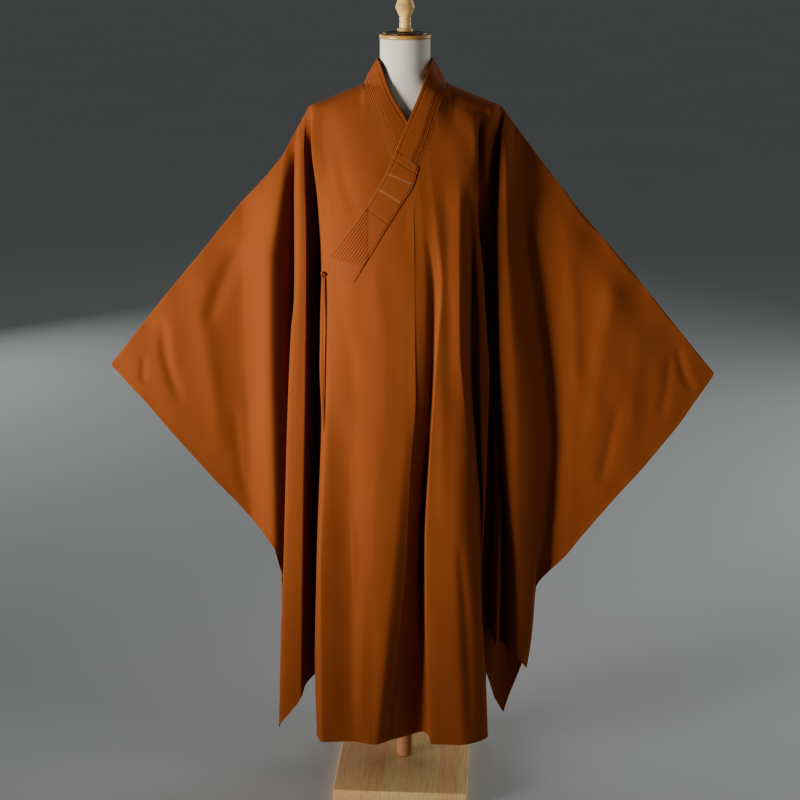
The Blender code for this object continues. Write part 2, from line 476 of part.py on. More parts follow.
def column_places(lines, neck_corner=None, collar_way=1):
    """Places of the mesh columns, with some more from the neck corner's line towards the collar."""
    places = np.linspace(0, len(lines) - 1, (len(lines) - 1) * COLUMNS_PER_FOLD + 1)
    if neck_corner is None:
        return places
    return np.sort(np.concatenate([places, neck_corner + collar_way * np.array(CORNER_COLUMNS)]))


def turned_over(column, roll, side):
    """A column that comes from a fold on the middle plane: near its top it draws in to that plane."""
    drops, reach = np.array(roll).T
    limit = np.maximum(np.interp(column[0, 2] - column[:, 2], drops, reach), FOLD_FROM_MIDDLE)
    column[:, 1] = side * np.minimum(side * column[:, 1], limit)
    column[0, 1] = side * FOLD_FROM_MIDDLE
    return column


def body_length(name, lines, top_edge, side, neck_corner=None, collar_way=1):
    """A body piece: columns from its top edge down to the hem."""
    columns = []
    for place in column_places(lines, neck_corner, collar_way):
        top = float(smooth_through(np.arange(len(lines)), [line[2][0][0] for line in lines], [place])[0])
        for _ in range(TOP_PASSES):
            x = section_points(lines, place, np.array([top]), side)[0, 0]
            top = top_edge(x)
        column = section_points(lines, place, row_heights(top, HEM_Z, ROWS), side)
        on_shoulder = neck_corner is not None and abs(x) >= NECK_CORNER
        columns.append(turned_over(column, SHOULDER_ROLL, side) if on_shoulder else column)
    return cloth_wall(name, columns, ROBE_CLOTH)


def sleeve_side(name, lines, top_fold, side):
    """The front or back of a sleeve: columns from the top fold down to the cuff or underarm seam."""
    fold = np.array(sorted(top_fold))
    columns = []
    for place in column_places(lines):
        at = np.arange(len(lines))
        top = float(np.interp(place, at, [line[2][0][0] for line in lines]))
        bottom = float(np.interp(place, at, [line[1] for line in lines]))
        shaped = [(line[0], "own", line[2]) for line in lines]
        for _ in range(TOP_PASSES):
            x = section_points(shaped, place, np.array([top]), side)[0, 0]
            top = max(float(np.interp(x, fold[:, 0], fold[:, 1])), bottom + SHORTEST_COLUMN)
        column = section_points(shaped, place, row_heights(top, bottom, SLEEVE_ROWS), side)
        columns.append(turned_over(column, SLEEVE_ROLL, side))
    return cloth_wall(name, columns, ROBE_CLOTH)


# ---------------------------------------------------------------- top edges of the body pieces
def shoulder_z(x):
    rows = np.array(BODY_SECTIONS)[2:5]
    return float(np.interp(abs(x), rows[:, 1], rows[:, 0]))


def collar_edge_z(x, stations):
    edge = np.array(sorted(station[2] for station in stations))
    return float(np.interp(x, edge[:, 0], edge[:, 1]))


def collar_gap(x):
    """Sideways gap from the collar's sewn edge to a panel: wider at the neck corner, where the walls turn."""
    corner_gap = NECK_CORNER - NAPE_FOOT_HALF
    return float(np.interp(abs(x), (NECK_CORNER - CORNER_TURN, NECK_CORNER), (2 * SEAM, corner_gap)))


def over_top(x):
    if x > NECK_CORNER:
        return shoulder_z(x)
    end_neck, end_outer = OVER_COLLAR[-1][1:]
    if x < end_outer[0]:
        return float(np.interp(x, (end_neck[0], end_outer[0]), (end_neck[1], end_outer[1]))) - SEAM * 2
    return collar_edge_z(x - collar_gap(x), OVER_COLLAR) - SEAM


def under_top(x):
    if x < -NECK_CORNER:
        return shoulder_z(x)
    return collar_edge_z(x + collar_gap(x), UNDER_COLLAR) - SEAM


def back_top(x):
    if abs(x) > NECK_CORNER:
        return shoulder_z(x)
    rise = OVER_COLLAR[0][2][1] - NAPE_FOOT_Z
    return NAPE_FOOT_Z + rise * min(abs(x) / NAPE_FOOT_HALF, 1.0) ** 2 - 2 * SEAM


# ---------------------------------------------------------------- collar
def nape_station(turn, side, lift):
    """Neck edge and sewn edge of the band round the nape; turn runs from 0 at the back to 1 at the side."""
    around = turn * NAPE_SWEEP
    neck_x = side * NAPE_NECK_RADIUS * math.sin(around)
    neck = np.array([neck_x, NAPE_NECK_RADIUS * math.cos(around), NAPE_NECK_Z])
    down = math.sin(turn * math.pi / 2)
    foot_z = NAPE_FOOT_Z + (OVER_COLLAR[0][2][1] - NAPE_FOOT_Z) * down ** 2
    foot_x = NAPE_FOOT_HALF * down
    foot = np.array([side * foot_x, back_y(foot_x, foot_z), foot_z])
    outward = (neck + foot) * (1.0, 1.0, 0.0)
    outward /= np.linalg.norm(outward)
    return neck + outward * lift, foot + outward * lift


def across_band(stations, depth, side, lift, place, inner, outer, count):
    """Points across the band at a place along it, from inner to outer metres in from the sewn edge.

    Places up to NAPE_STATIONS - 1 lie round the nape, and the rest count the rows down the front.
    """
    front_place = place - (NAPE_STATIONS - 1)
    if front_place <= 0:
        neck, sewn = nape_station(place / (NAPE_STATIONS - 1), side, lift)
        if place == 0:
            neck[0] = sewn[0] = side * NAPE_SEAM
    else:
        rows = np.array([row[1:] for row in stations])
        neck, sewn = smooth_through(np.arange(len(rows)), rows, np.array([front_place]))[0]
    width = np.linalg.norm(sewn - neck)
    share = 1.0 - np.linspace(min(inner, width), outer, count) / width
    points = neck + share[:, None] * (sewn - neck)
    if front_place <= 0:
        return points
    x, z = points.T
    return np.column_stack([x, depth(x, z) - lift, z])


def band_strip(name, stations, depth, side, lift, last, inner, outer, count):
    """A wall along the band, from the centre back to a place, between two distances from the sewn edge."""
    front_start = NAPE_STATIONS - 1
    nape = np.arange(0, front_start, NAPE_STEP)
    places = np.concatenate([nape, np.arange(front_start, last + LAST_IN, BAND_STEP)])
    columns = [across_band(stations, depth, side, lift, place, inner, outer, count) for place in places]
    return cloth_wall(name, columns, TRIM_CLOTH)


def layered_collar(name, stations, depth, side, last):
    """The plain band with its two stepped layers beside it, each a little lower than the last."""
    steps = 2
    band_strip(name, stations, depth, side, BAND_RISE, last, WHOLE_WIDTH, steps * STRIP_WIDTH + SEAM, 4)
    for step in range(1, steps + 1):
        lift = BAND_RISE * (1.0 - step / (steps + 0.5))
        outer = (steps - step) * STRIP_WIDTH + (SEAM if step == steps else 0.0)
        inner = (steps - step + 1) * STRIP_WIDTH - 2 * SEAM
        band_strip(f"{name}_step_{step}", stations, depth, side, lift, last, inner, outer, 2)


def quilted_collar():
    """The stitched lower band: ribs along it between two cross rows, raised over a plain inside."""
    first = NAPE_STATIONS - 1 + STRIPS_END
    last = NAPE_STATIONS - 1 + len(OVER_COLLAR) - 1
    start, end = NAPE_STATIONS - 1 + QUILT_FROM, NAPE_STATIONS - 1 + QUILT_TO
    places = [first + STRIPS_BREAK, start + CROSS_STEP, end - CROSS_STEP]
    places = np.sort(np.concatenate([places, np.arange(first + QUILT_STEP, last + LAST_IN, QUILT_STEP)]))
    count = 2 * QUILT_ROWS + 1
    rise = np.where(np.arange(count) % 2 == 1, QUILT_RISE, 0.0)
    outside, inside = [], []
    for place in places:
        line = across_band(OVER_COLLAR, front_y, 1, BAND_RISE, place, WHOLE_WIDTH, 0.0, count)
        lift = rise if start < place < end else np.zeros(count)
        outside.append(line - np.outer(CLOTH / 2 + lift, (0, 1, 0)))
        inside.append(line + (0, CLOTH / 2, 0))
    columns, rows = len(places), count
    points = np.concatenate([np.array(outside).reshape(-1, 3), np.array(inside).reshape(-1, 3)])
    sheet = grid_faces(columns, rows)
    back = [tuple(i + columns * rows for i in face[::-1]) for face in sheet]
    rim = list(range(rows)) + [c * rows + rows - 1 for c in range(1, columns)]
    rim += [(columns - 1) * rows + r for r in range(rows - 2, -1, -1)]
    rim += [c * rows for c in range(columns - 2, 0, -1)]
    sides = [(a, b, b + columns * rows, a + columns * rows) for a, b in zip(rim, rim[1:] + rim[:1])]
    made = add_mesh("collar_quilted", points, sheet + back + sides, TRIM_CLOTH)
    tidy = bmesh.new()
    tidy.from_mesh(made.data)
    bmesh.ops.recalc_face_normals(tidy, faces=tidy.faces)
    tidy.to_mesh(made.data)
    tidy.free()


# ---------------------------------------------------------------- dress form and stand
def rounded_ring(z, half, front, back, power):
    """A closed section: |x / half| ** power + (y / depth) ** 2 = 1."""
    angles = np.linspace(0.0, 2.0 * math.pi, RING_POINTS, endpoint=False)
    x = half * np.sign(np.cos(angles)) * np.abs(np.cos(angles)) ** (2.0 / power)
    y = np.where(np.sin(angles) < 0, front, back) * np.sin(angles)
    return np.column_stack([x, y, np.full(RING_POINTS, z)])


def build_torso():
    rings = [rounded_ring(*row) for row in FORM_SECTIONS[::-1]]
    points = np.vstack(rings)
    count = RING_POINTS
    faces = [tuple(range(count - 1, -1, -1)), tuple(range((len(rings) - 1) * count, len(rings) * count))]
    for k in range(len(rings) - 1):
        for i in range(count):
            j = (i + 1) % count
            faces.append((k * count + i, k * count + j, (k + 1) * count + j, (k + 1) * count + i))
    return add_mesh("form_torso", points, faces, LINEN)


def turned(name, profile, surface_material):
    """A turned solid: the profile goes from the axis at the bottom to the axis at the top."""
    points = [(radius, 0.0, z) for radius, z in profile[::-1]]
    mesh = bpy.data.meshes.new(name)
    mesh.from_pydata(points, [(i, i + 1) for i in range(len(points) - 1)], [])
    mesh.materials.append(surface_material)
    made = bpy.data.objects.new(name, mesh)
    robe.objects.link(made)
    screw = made.modifiers.new("turn", "SCREW")
    screw.steps = FINIAL_STEPS
    screw.render_steps = FINIAL_STEPS
    screw.use_merge_vertices = True
    screw.merge_threshold = 0.0001
    screw.use_smooth_shade = True
    return made


def build_stand():
    bpy.ops.mesh.primitive_cube_add(size=1.0, location=(0.0, 0.0, BASE_SIZE[2] / 2))
    base = bpy.context.object
    base.name = base.data.name = "stand_base"
    base.scale = BASE_SIZE
    bpy.ops.object.transform_apply(location=False, rotation=False, scale=True)
    base.rotation_euler = (0.0, 0.0, BASE_TURN)
    edge = base.modifiers.new("eased edges", "BEVEL")
    edge.width = 0.002
    edge.segments = 1
    base.data.materials.append(PINE)
    pole_bottom = BASE_SIZE[2] + FIT_GAP
    pole_top = TORSO_BOTTOM - FIT_GAP
    bpy.ops.mesh.primitive_cylinder_add(vertices=24, radius=POLE_RADIUS, depth=pole_top - pole_bottom,
                                        location=(0.0, 0.0, (pole_top + pole_bottom) / 2))
    pole = bpy.context.object
    pole.name = pole.data.name = "stand_pole"
    pole.data.shade_smooth()
    pole.data.set_sharp_from_angle(angle=math.radians(40))
    pole.data.materials.append(PINE)
    for made in (base, pole):
        for home in list(made.users_collection):
            home.objects.unlink(made)
        robe.objects.link(made)


# ---------------------------------------------------------------- tie
def beside_free_edge(heights, out):
    """Points of the overlap at the tie's place, moved out of the cloth, and the direction across the tail."""
    here = section_points(OVERLAP_LINES, TIE_PLACE, heights, FRONT)
    ahead = section_points(OVERLAP_LINES, TIE_PLACE + TIE_ASIDE, heights, FRONT)
    across = (ahead - here) / np.linalg.norm(ahead - here, axis=1)[:, None]
    outward = np.column_stack([across[:, 1], -across[:, 0], across[:, 2]])
    return here + outward * out, across


def build_tie():
    middle, across = beside_free_edge(np.linspace(TIE_TOP_Z, TIE_END_Z, TIE_ROWS), CLOTH + TIE_GAP)
    columns = [middle - across * TIE_WIDTH / 2, middle, middle + across * TIE_WIDTH / 2]
    return cloth_wall("tie_tail", columns, TRIM_CLOTH)


def build_knot():
    centre = beside_free_edge(np.array([KNOT_Z]), KNOT_OUT)[0][0]
    bpy.ops.mesh.primitive_uv_sphere_add(segments=14, ring_count=8, radius=0.5, location=tuple(centre))
    knot = bpy.context.object
    knot.name = knot.data.name = "tie_knot"
    knot.scale = KNOT_SIZE
    bpy.ops.object.transform_apply(location=False, rotation=False, scale=True)
    knot.data.shade_smooth()
    knot.data.materials.append(TRIM_CLOTH)
    for home in list(knot.users_collection):
        home.objects.unlink(knot)
    robe.objects.link(knot)


# ---------------------------------------------------------------- assembly
body_length("overlap_front", OVERLAP_LINES, over_top, FRONT)
body_length("left_front", LEFT_FRONT_LINES, over_top, FRONT, neck_corner=4, collar_way=-1)
body_length("right_front", RIGHT_FRONT_LINES, under_top, FRONT, neck_corner=4, collar_way=1)
body_length("left_back", BACK_LEFT_LINES, back_top, BACK, neck_corner=3, collar_way=-1)
body_length("right_back", BACK_RIGHT_LINES, back_top, BACK, neck_corner=3, collar_way=1)
sleeve_side("right_sleeve_front", RIGHT_SLEEVE_FRONT, RIGHT_SLEEVE_TOP, FRONT)
sleeve_side("right_sleeve_back", RIGHT_SLEEVE_BACK, RIGHT_SLEEVE_TOP, BACK)
sleeve_side("left_sleeve_front", LEFT_SLEEVE_FRONT, LEFT_SLEEVE_TOP, FRONT)
sleeve_side("left_sleeve_back", LEFT_SLEEVE_BACK, LEFT_SLEEVE_TOP, BACK)
layered_collar("collar_over", OVER_COLLAR, front_y, 1, NAPE_STATIONS - 1 + STRIPS_END)
layered_collar("collar_under", UNDER_COLLAR, under_y, -1, NAPE_STATIONS - 1 + UNDER_STRIPS_END)
quilted_collar()
build_torso()
turned("neck_cap", CAP_PROFILE, WALNUT)
turned("finial", FINIAL_PROFILE, PINE)
build_stand()
build_tie()
build_knot()
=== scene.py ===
"""Buddhist monk robe (haiqing) on a limbless dress form: cloth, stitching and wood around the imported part.

Units are metres, +Z is up and the robe's front faces -Y.  "Left" and "right" are the wearer's, and the
left front wraps over the right front.  A cloth panel is a surface of two parameters: the place across it,
counted in fold lines, and the height down it.  Each row of a fold table is one fold line, and a section is
the smooth curve through the fold lines at its height.  Soft creases are then added across the panel.
"""
import math

import bpy
import numpy as np
from bpy.props import FloatProperty, FloatVectorProperty, IntProperty, PointerProperty
from bpy.types import Operator, Panel, PropertyGroup
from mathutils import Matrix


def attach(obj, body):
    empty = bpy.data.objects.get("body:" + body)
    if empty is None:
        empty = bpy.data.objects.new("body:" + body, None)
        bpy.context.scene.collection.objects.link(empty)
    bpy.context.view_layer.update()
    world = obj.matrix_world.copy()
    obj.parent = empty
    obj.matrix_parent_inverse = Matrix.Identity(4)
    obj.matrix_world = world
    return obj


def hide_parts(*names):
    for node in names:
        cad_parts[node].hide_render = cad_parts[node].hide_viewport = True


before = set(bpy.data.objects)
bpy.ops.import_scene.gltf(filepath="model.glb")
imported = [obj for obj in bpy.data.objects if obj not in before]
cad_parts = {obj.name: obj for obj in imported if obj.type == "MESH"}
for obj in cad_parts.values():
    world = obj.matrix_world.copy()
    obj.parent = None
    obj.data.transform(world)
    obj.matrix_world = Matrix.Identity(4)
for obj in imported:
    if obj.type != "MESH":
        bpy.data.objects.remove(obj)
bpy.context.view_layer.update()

bl_info = {
    "name": "Monk Robe on Dress Form",
    "version": (1, 0, 0),
    "blender": (4, 5, 0),
    "location": "View3D > Sidebar > Robe",
    "description": "Builds the robe's cloth, collar, tie, dress form, stand and studio around the frame",
    "category": "Add Mesh",
}

FRONT, BACK = -1, 1             # the side of the middle plane y = 0 that a panel keeps to
SLEEVE_LAP = 0.0010             # the sleeve's inner line lies this far inside the armhole and side lines
SECTION_POWER = 2.5             # squareness of the body's plan section
UNDER_LAYER = 0.0066            # how far the right front lies behind the left front
UNDER_FADE = 0.025              # stretch beside the shoulder and side over which it comes back out
SEAM = 0.0004                   # gap between the edges of two pieces that are sewn together
SEAM_LAP = 0.0035               # the left front runs this far in behind the overlap at the centre seam,
SEAM_STEP = 0.0003              # and lies this much deeper there
SHORTEST_COLUMN = 0.004         # least length of a panel's mesh column
COLUMN_STEP = 0.0042            # widest mesh column
ARC_SPARE = 1.1                 # arcs between the heights that are measured may be this much longer
FADED_COLUMNS = 7.0             # mesh columns at a panel's edges over which its creases fade out
CREASE_START = 0.05             # stretch below the top edge over which they set in
BODY_ROWS, SLEEVE_ROWS = 150, 120   # even mesh rows of a panel
CREASE_POINTS = 9               # points of a crease's path, smooth through the ones that are given
WAVES = 6                       # sine waves of a panel's unevenness
TOP_PASSES = 6                  # repeats that settle where a slanting column meets its top edge
EDGE_FROM_MIDDLE = 0.0006       # front and back panels stop this far from the middle plane
ROLL_LENGTH = 0.070             # stretch below a top fold with close mesh rows
ROLL_SHARE = 0.3                # and at most this share of a column
ROLL_ROWS = 12
SETTLED_ROW = 7                 # row where a shoulder's depth has settled, about 24 mm down
ARMHOLE_FADE = (0.166, 0.182)   # stretch of x over which the shoulder gives way to the armhole
HEM_STRETCH = 1.3               # stretch with close mesh rows at the hem, in hem widths
HEM_ROWS = (1.0, 0.85, 0.78, 0.74, 0.70, 0.60, 0.30, 0.0)   # mesh rows over the hem, in hem stretches
HEM_STITCHES = 0.93             # height of the hem's stitching, in hem widths
HEM_MORE, HEM_LESS = 0.7, 0.6   # the wall grows and shrinks by these shares at the hem and its stitching
HEM_EDGE = (-0.0004, 0.0006)    # stretch about the hem's width over which its wall thins out
HEM_GROOVE = 0.0006             # half width of the groove at its stitching
# How far cloth stands out from the middle plane at each drop below the fold that it turns over
SHOULDER_ROLL = ((0.0, 0.0), (0.005, 0.026), (0.013, 0.041), (0.027, 0.062), (0.050, 0.125), (0.1, 0.4),
                 (0.2, 3.0))
SLEEVE_ROLL = ((0.0, 0.0), (0.005, 0.007), (0.013, 0.014), (0.027, 0.026), (0.050, 0.050), (0.085, 0.100),
               (0.15, 0.4), (0.25, 3.0))
ROLL_POWER = 4.0                # sharpness of the turn from the top fold into the panel

# Body sections: height, half width, depth to the front, depth to the back
BODY_SECTIONS = (
    # z     half   front  back
    (1.556, 0.0515, 0.0515, 0.0515),
    (1.530, 0.0640, 0.0560, 0.0580),
    (1.508, 0.0800, 0.0610, 0.0650),
    (1.482, 0.1430, 0.0670, 0.0750),
    (1.464, 0.1890, 0.0720, 0.0820),
    (1.440, 0.1935, 0.0800, 0.0900),
    (1.400, 0.1930, 0.0920, 0.1010),
    (1.350, 0.1890, 0.1060, 0.1110),
    (1.250, 0.1850, 0.1210, 0.1190),
    (1.150, 0.1840, 0.1270, 0.1170),
    (1.000, 0.1840, 0.1290, 0.1130),
    (0.800, 0.1870, 0.1300, 0.1160),
    (0.500, 0.1920, 0.1340, 0.1250),
    (0.130, 0.1960, 0.1380, 0.1350),
)

# Dress form sections: height, half width, depth to the front, depth to the back, squareness
FORM_SECTIONS = (
    # z      half   front   back    power
    (1.5935, 0.0480, 0.0480, 0.0480, 2.0),
    (1.5925, 0.0490, 0.0490, 0.0490, 2.0),
    (1.5400, 0.0490, 0.0485, 0.0490, 2.0),
    (1.5220, 0.0560, 0.0490, 0.0490, 2.0),
    (1.5061, 0.0800, 0.0500, 0.0490, 1.8),
    (1.4801, 0.1400, 0.0540, 0.0530, 1.6),
    (1.4670, 0.1730, 0.0580, 0.0600, 1.6),
    (1.4450, 0.1720, 0.0620, 0.0720, 1.8),
    (1.4000, 0.1640, 0.0750, 0.0850, 2.2),
    (1.3500, 0.1560, 0.0880, 0.0940, 2.3),
    (1.2500, 0.1500, 0.1030, 0.1000, 2.5),
    (1.1500, 0.1380, 0.1040, 0.0930, 2.4),
    (1.0500, 0.1320, 0.0970, 0.0880, 2.3),
    (0.9500, 0.1400, 0.0990, 0.0950, 2.3),
    (0.8500, 0.1480, 0.1000, 0.1000, 2.3),
    (0.8150, 0.1460, 0.0980, 0.0980, 2.3),
    (0.8030, 0.1380, 0.0900, 0.0900, 2.3),
    (0.8000, 0.1250, 0.0800, 0.0800, 2.3),
)
FORM_AROUND, FORM_RINGS = 96, 90    # mesh points round the form, and rings below and above the chest
FORM_CHEST = 1.44               # height that parts them


def fold_lines(*rows):
    """Fold lines in metres, from rows in millimetres: a line's name, its depth rule, and its knots.

    A knot is (height, x, depth), from the top edge down.  The rule says what the depth is: "own" is the y
    itself, and "body", "under" and "back" count inward from that section of the robe.
    """
    return tuple((name, rule, tuple(tuple(v / 1000 for v in knot) for knot in knots))
                 for name, rule, *knots in rows)


def tucked(line):
    """A fold line moved aside and in: where a panel is sewn on behind the one beside it."""
    name, rule, knots = line
    return name, rule, tuple((z, x - SEAM_LAP, inward + SEAM_STEP) for z, x, inward in knots)


def beside(line):
    """A body's side line moved in a little: where a sleeve is sewn along it."""
    return "armhole and underarm", "own", tuple((z, x - math.copysign(SLEEVE_LAP, x), y) for z, x, y in line[2])


OVERLAP_LINES = fold_lines(
    ("overlap free edge", "own", (1146, -160.5, -64), (1050, -158.5, -71), (950, -163, -73),
     (820, -170, -76), (500, -185, -86), (270, -191, -90), (131, -189, -92)),
    ("edge roll", "own", (1146, -149, -79), (950, -153, -92), (820, -160, -98), (500, -174, -114),
     (131, -175, -122)),
    ("side of the front", "body", (1134, -102, 0), (820, -110, 0), (131, -115, 0)),
    ("middle of the overlap", "body", (1219, -49, 0), (820, -55, 0), (131, -74, 0)),
    ("beside the centre seam", "body", (1286, -9, 0), (900, -2, 0), (500, -30, 1), (131, -62, 1)),
    ("centre front seam", "body", (1330, 16.5, 0), (1000, 20, 0), (900, 21, 1), (770, 12, 5), (510, 0, 13),
     (354, -14, 17), (131, -37, 18)),
)

LEFT_FRONT_LINES = (tucked(OVERLAP_LINES[-1]),) + fold_lines(
    ("valley wall", "body", (1352, 24, 0), (1250, 30, 0), (1080, 41, 3), (900, 40, 11), (770, 31, 22),
     (500, 18, 34), (131, 2, 42)),
    ("deep valley", "body", (1367, 31, 0), (1250, 42, 1), (1130, 56, 9), (1000, 54, 17), (900, 51.5, 25),
     (840, 49, 26), (780, 46.5, 40), (700, 43, 56), (500, 37, 67), (131, 38, 60)),
    ("bulge lip", "body", (1385, 38, 0), (1250, 51, 1), (1130, 65, 5), (1000, 61, 8), (914, 57, 12),
     (800, 51.5, 16), (582, 41.5, 22), (465, 42.5, 26), (284, 47.5, 30), (131, 54.5, 30)),
    ("bulge inner edge", "body", (1395, 43, 0), (1250, 59, 0), (1130, 73, 0), (1000, 64, -1), (914, 59, -2),
     (800, 53, 0), (582, 43, 4), (465, 44, 6), (284, 49, 6), (131, 56, 5)),
    ("bulge front", "body", (1450, 60, 0), (1300, 80, 0), (1000, 90, -4), (500, 102, -14), (131, 116, -16)),
    ("bulge ridge", "own", (1507, 82.2, 0), (1503, 83, -24), (1495, 86, -38), (1480, 90, -48),
     (1400, 98, -86), (1320, 102, -103), (1250, 104, -114), (1003, 108, -123), (833, 125, -118),
     (592, 147, -110), (453, 159, -105), (220, 175, -98), (131, 179, -96)),
    ("second valley", "own", (1493.6, 115, 0), (1490, 115, -26), (1480, 115, -46), (1400, 122, -81),
     (1320, 125, -94), (1250, 129, -92), (1180, 133, -80), (1115, 137, -67), (1000, 139, -57),
     (930, 140, -53), (775, 150, -48), (640, 159, -43), (500, 162, -42), (131, 170, -44)),
    ("side strip ridge", "own", (1483.3, 140, 0), (1480, 140, -24), (1470, 138, -45), (1440, 132, -67),
     (1397, 135, -79), (1320, 136, -88), (1260, 136, -90), (1140, 143, -83), (1020, 149, -77),
     (933, 151, -74), (775, 158, -65), (640, 163, -52), (500, 162.5, -40), (131, 168, -34)),
    ("strip edge", "own", (1480, 148, 0), (1476, 148, -22), (1466, 144, -44), (1440, 138, -63),
     (1397, 139.5, -75), (1320, 141, -84), (1260, 142, -86), (1140, 154.5, -77), (1020, 164, -69),
     (933, 170.5, -65), (775, 169.6, -58), (640, 168, -46), (500, 163.5, -34), (131, 168.5, -29)),
    ("armhole valley", "own", (1476.2, 158, 0), (1473, 158, -22), (1460, 153, -43), (1430, 144.5, -45),
     (1400, 142.5, -45.5), (1350, 143.5, -44.5), (1250, 146, -33), (1130, 158, -24), (800, 168, -16),
     (131, 170, -14)),
    ("armhole fold", "own", (1470.3, 173, 0), (1467, 173, -18), (1455, 168, -40), (1430, 157.5, -50),
     (1400, 156, -52), (1340, 158.5, -46), (1290, 161.5, -34), (1200, 162, -18), (800, 170, -10),
     (131, 172, -8)),
    ("armhole and side", "own", (1465, 186.5, 0), (1450, 184, -16), (1400, 179, -22), (1250, 173, -20),
     (1130, 172, 0), (1000, 177, 0), (500, 182, 0), (131, 178, 0)),
)
RIGHT_FRONT_LINES = fold_lines(
    ("armhole and side", "own", (1465, -186.5, 0), (1450, -186, -16), (1400, -183, -26), (1250, -173, -22),
     (1130, -172, 0), (1000, -178, 0), (500, -189, 0), (131, -192, 0)),
    ("chest edge", "own", (1469.5, -175, 0), (1466, -176, -18), (1455, -180, -32), (1400, -183, -44),
     (1284, -171, -52), (1172, -166, -50), (800, -170, -50), (131, -186, -60)),
    ("chest roll", "under", (1476.2, -158, 0), (1400, -160, 0), (1200, -150, 0), (800, -152, 0),
     (131, -162, 0)),
    ("below the shoulder", "under", (1489, -126, 0), (1300, -124, 0), (800, -112, 0), (131, -116, 0)),
    ("neck side", "under", (1507, -82.2, 0), (1300, -84, 0), (800, -78, 0), (131, -84, 0)),
    ("collar foot", "under", (1420, -44, 0), (1200, -46, 0), (800, -44, 0), (131, -62, 0)),
    ("under free edge", "under", (1330, 0, 0), (1000, -4, 0), (800, -12, 0), (500, -30, 0), (131, -52, 1)),
)
BACK_LEFT_LINES = fold_lines(
    ("centre back seam", "back", (1497, 0.9, 0), (1300, 0.9, 0), (800, 0.9, 4), (131, 0.9, 10)),
    ("fold beside the seam", "back", (1498, 28, 0), (1200, 30, 0), (800, 34, -10), (131, 46, -16)),
    ("first back valley", "back", (1500, 50, 0), (1200, 54, 2), (800, 62, 18), (131, 74, 40)),
    ("blade fold", "back", (1507, 82.2, 0), (1300, 86, -2), (800, 98, -10), (131, 112, -6)),
    ("second back valley", "back", (1489, 126, 0), (1300, 116, 4), (800, 126, 20), (131, 138, 34)),
    ("side back fold", "back", (1476.2, 158, 0), (1400, 158, 0), (1100, 154, 0), (800, 160, -4),
     (131, 168, -4)),
    ("armhole and side", "own", (1465, 186.5, 0), (1450, 185, 18), (1400, 180, 30), (1250, 173, 28),
     (1130, 172, 0), (1000, 177, 0), (500, 182, 0), (131, 178, 0)),
)
BACK_RIGHT_LINES = fold_lines(
    ("armhole and side", "own", (1465, -186.5, 0), (1450, -186, 18), (1400, -182, 30), (1250, -173, 28),
     (1130, -172, 0), (1000, -178, 0), (500, -189, 0), (131, -192, 0)),
    ("side back fold", "back", (1476.2, -158, 0), (1400, -158, 0), (1100, -150, -2), (800, -150, -10),
     (131, -160, -14)),
    ("second back valley", "back", (1489, -126, 0), (1300, -120, 2), (800, -122, 22), (131, -128, 44)),
    ("blade fold", "back", (1507, -82.2, 0), (1300, -90, -3), (800, -92, -12), (131, -94, -12)),
    ("first back valley", "back", (1500, -50, 0), (1200, -58, 3), (800, -60, 16), (131, -58, 30)),
    ("fold beside the seam", "back", (1498, -28, 0), (1200, -30, 0), (800, -30, -4), (131, -26, -8)),
    ("centre back seam", "back", (1497, -0.9, 0), (1300, -0.9, 0), (800, -0.9, 4), (131, -0.9, 10)),
)

# Sleeve outlines in the front view: (x, z) along the top fold and along the cuff
RIGHT_SLEEVE_TOP = ((-0.1880, 1.4640), (-0.209, 1.427), (-0.243, 1.366), (-0.277, 1.326), (-0.328, 1.273),
                    (-0.415, 1.168), (-0.497, 1.072), (-0.604, 0.939))
LEFT_SLEEVE_TOP = ((0.1880, 1.4640), (0.280, 1.344), (0.353, 1.253), (0.461, 1.131), (0.562, 1.009),
                   (0.638, 0.918))

# The sleeves, from the armhole to the cuff's upper corner.  Every line starts on the top fold.
RIGHT_SLEEVE_FRONT = (beside(RIGHT_FRONT_LINES[0]),) + fold_lines(
    ("pleat inner side", "own", (1458, -191, -1), (1400, -195, -30), (1250, -193, -36), (1000, -196, -38),
     (600, -208, -36), (216, -218, -30)),
    ("pleat front", "own", (1452, -194, -1), (1400, -198, -36), (1250, -196, -60), (1000, -200, -68),
     (600, -213, -63), (200, -225, -52)),
    ("pleat middle", "own", (1445, -198, -1), (1400, -203, -36), (1250, -204, -60), (1000, -212, -67),
     (600, -230, -61), (168, -246, -50)),
    ("pleat outer edge", "own", (1434, -204, -1), (1400, -211.5, -26), (1308, -216, -45),
     (1198, -217.5, -54), (1086, -221.5, -57), (1025, -229, -57), (520, -256, -50), (309, -267, -44),
     (121, -275, -38)),
    ("behind the pleat", "own", (1415, -214, -1), (1308, -222, -14), (1086, -226, -8), (800, -229, -6),
     (520, -237, -5), (330, -243, -6)),
    ("panel ridge", "own", (1385, -231, -1), (1321, -243, -30), (1237, -257, -44), (1166, -268, -50),
     (900, -273, -54), (548, -274, -52)),
    ("panel inner", "own", (1271, -330, -1), (1150, -330, -14), (900, -330, -23), (615, -330, -26)),
    ("panel middle", "own", (1187, -400, -1), (1050, -400, -22), (697, -400, -29)),
    ("panel outer", "own", (1104, -470, -1), (1000, -470, -22), (783, -470, -30)),
    ("cuff fold", "own", (1018, -540, -1), (950, -540, -16), (868, -540, -21)),
    ("cuff corner", "own", (939, -604, -1), (934, -604, -2)),
)
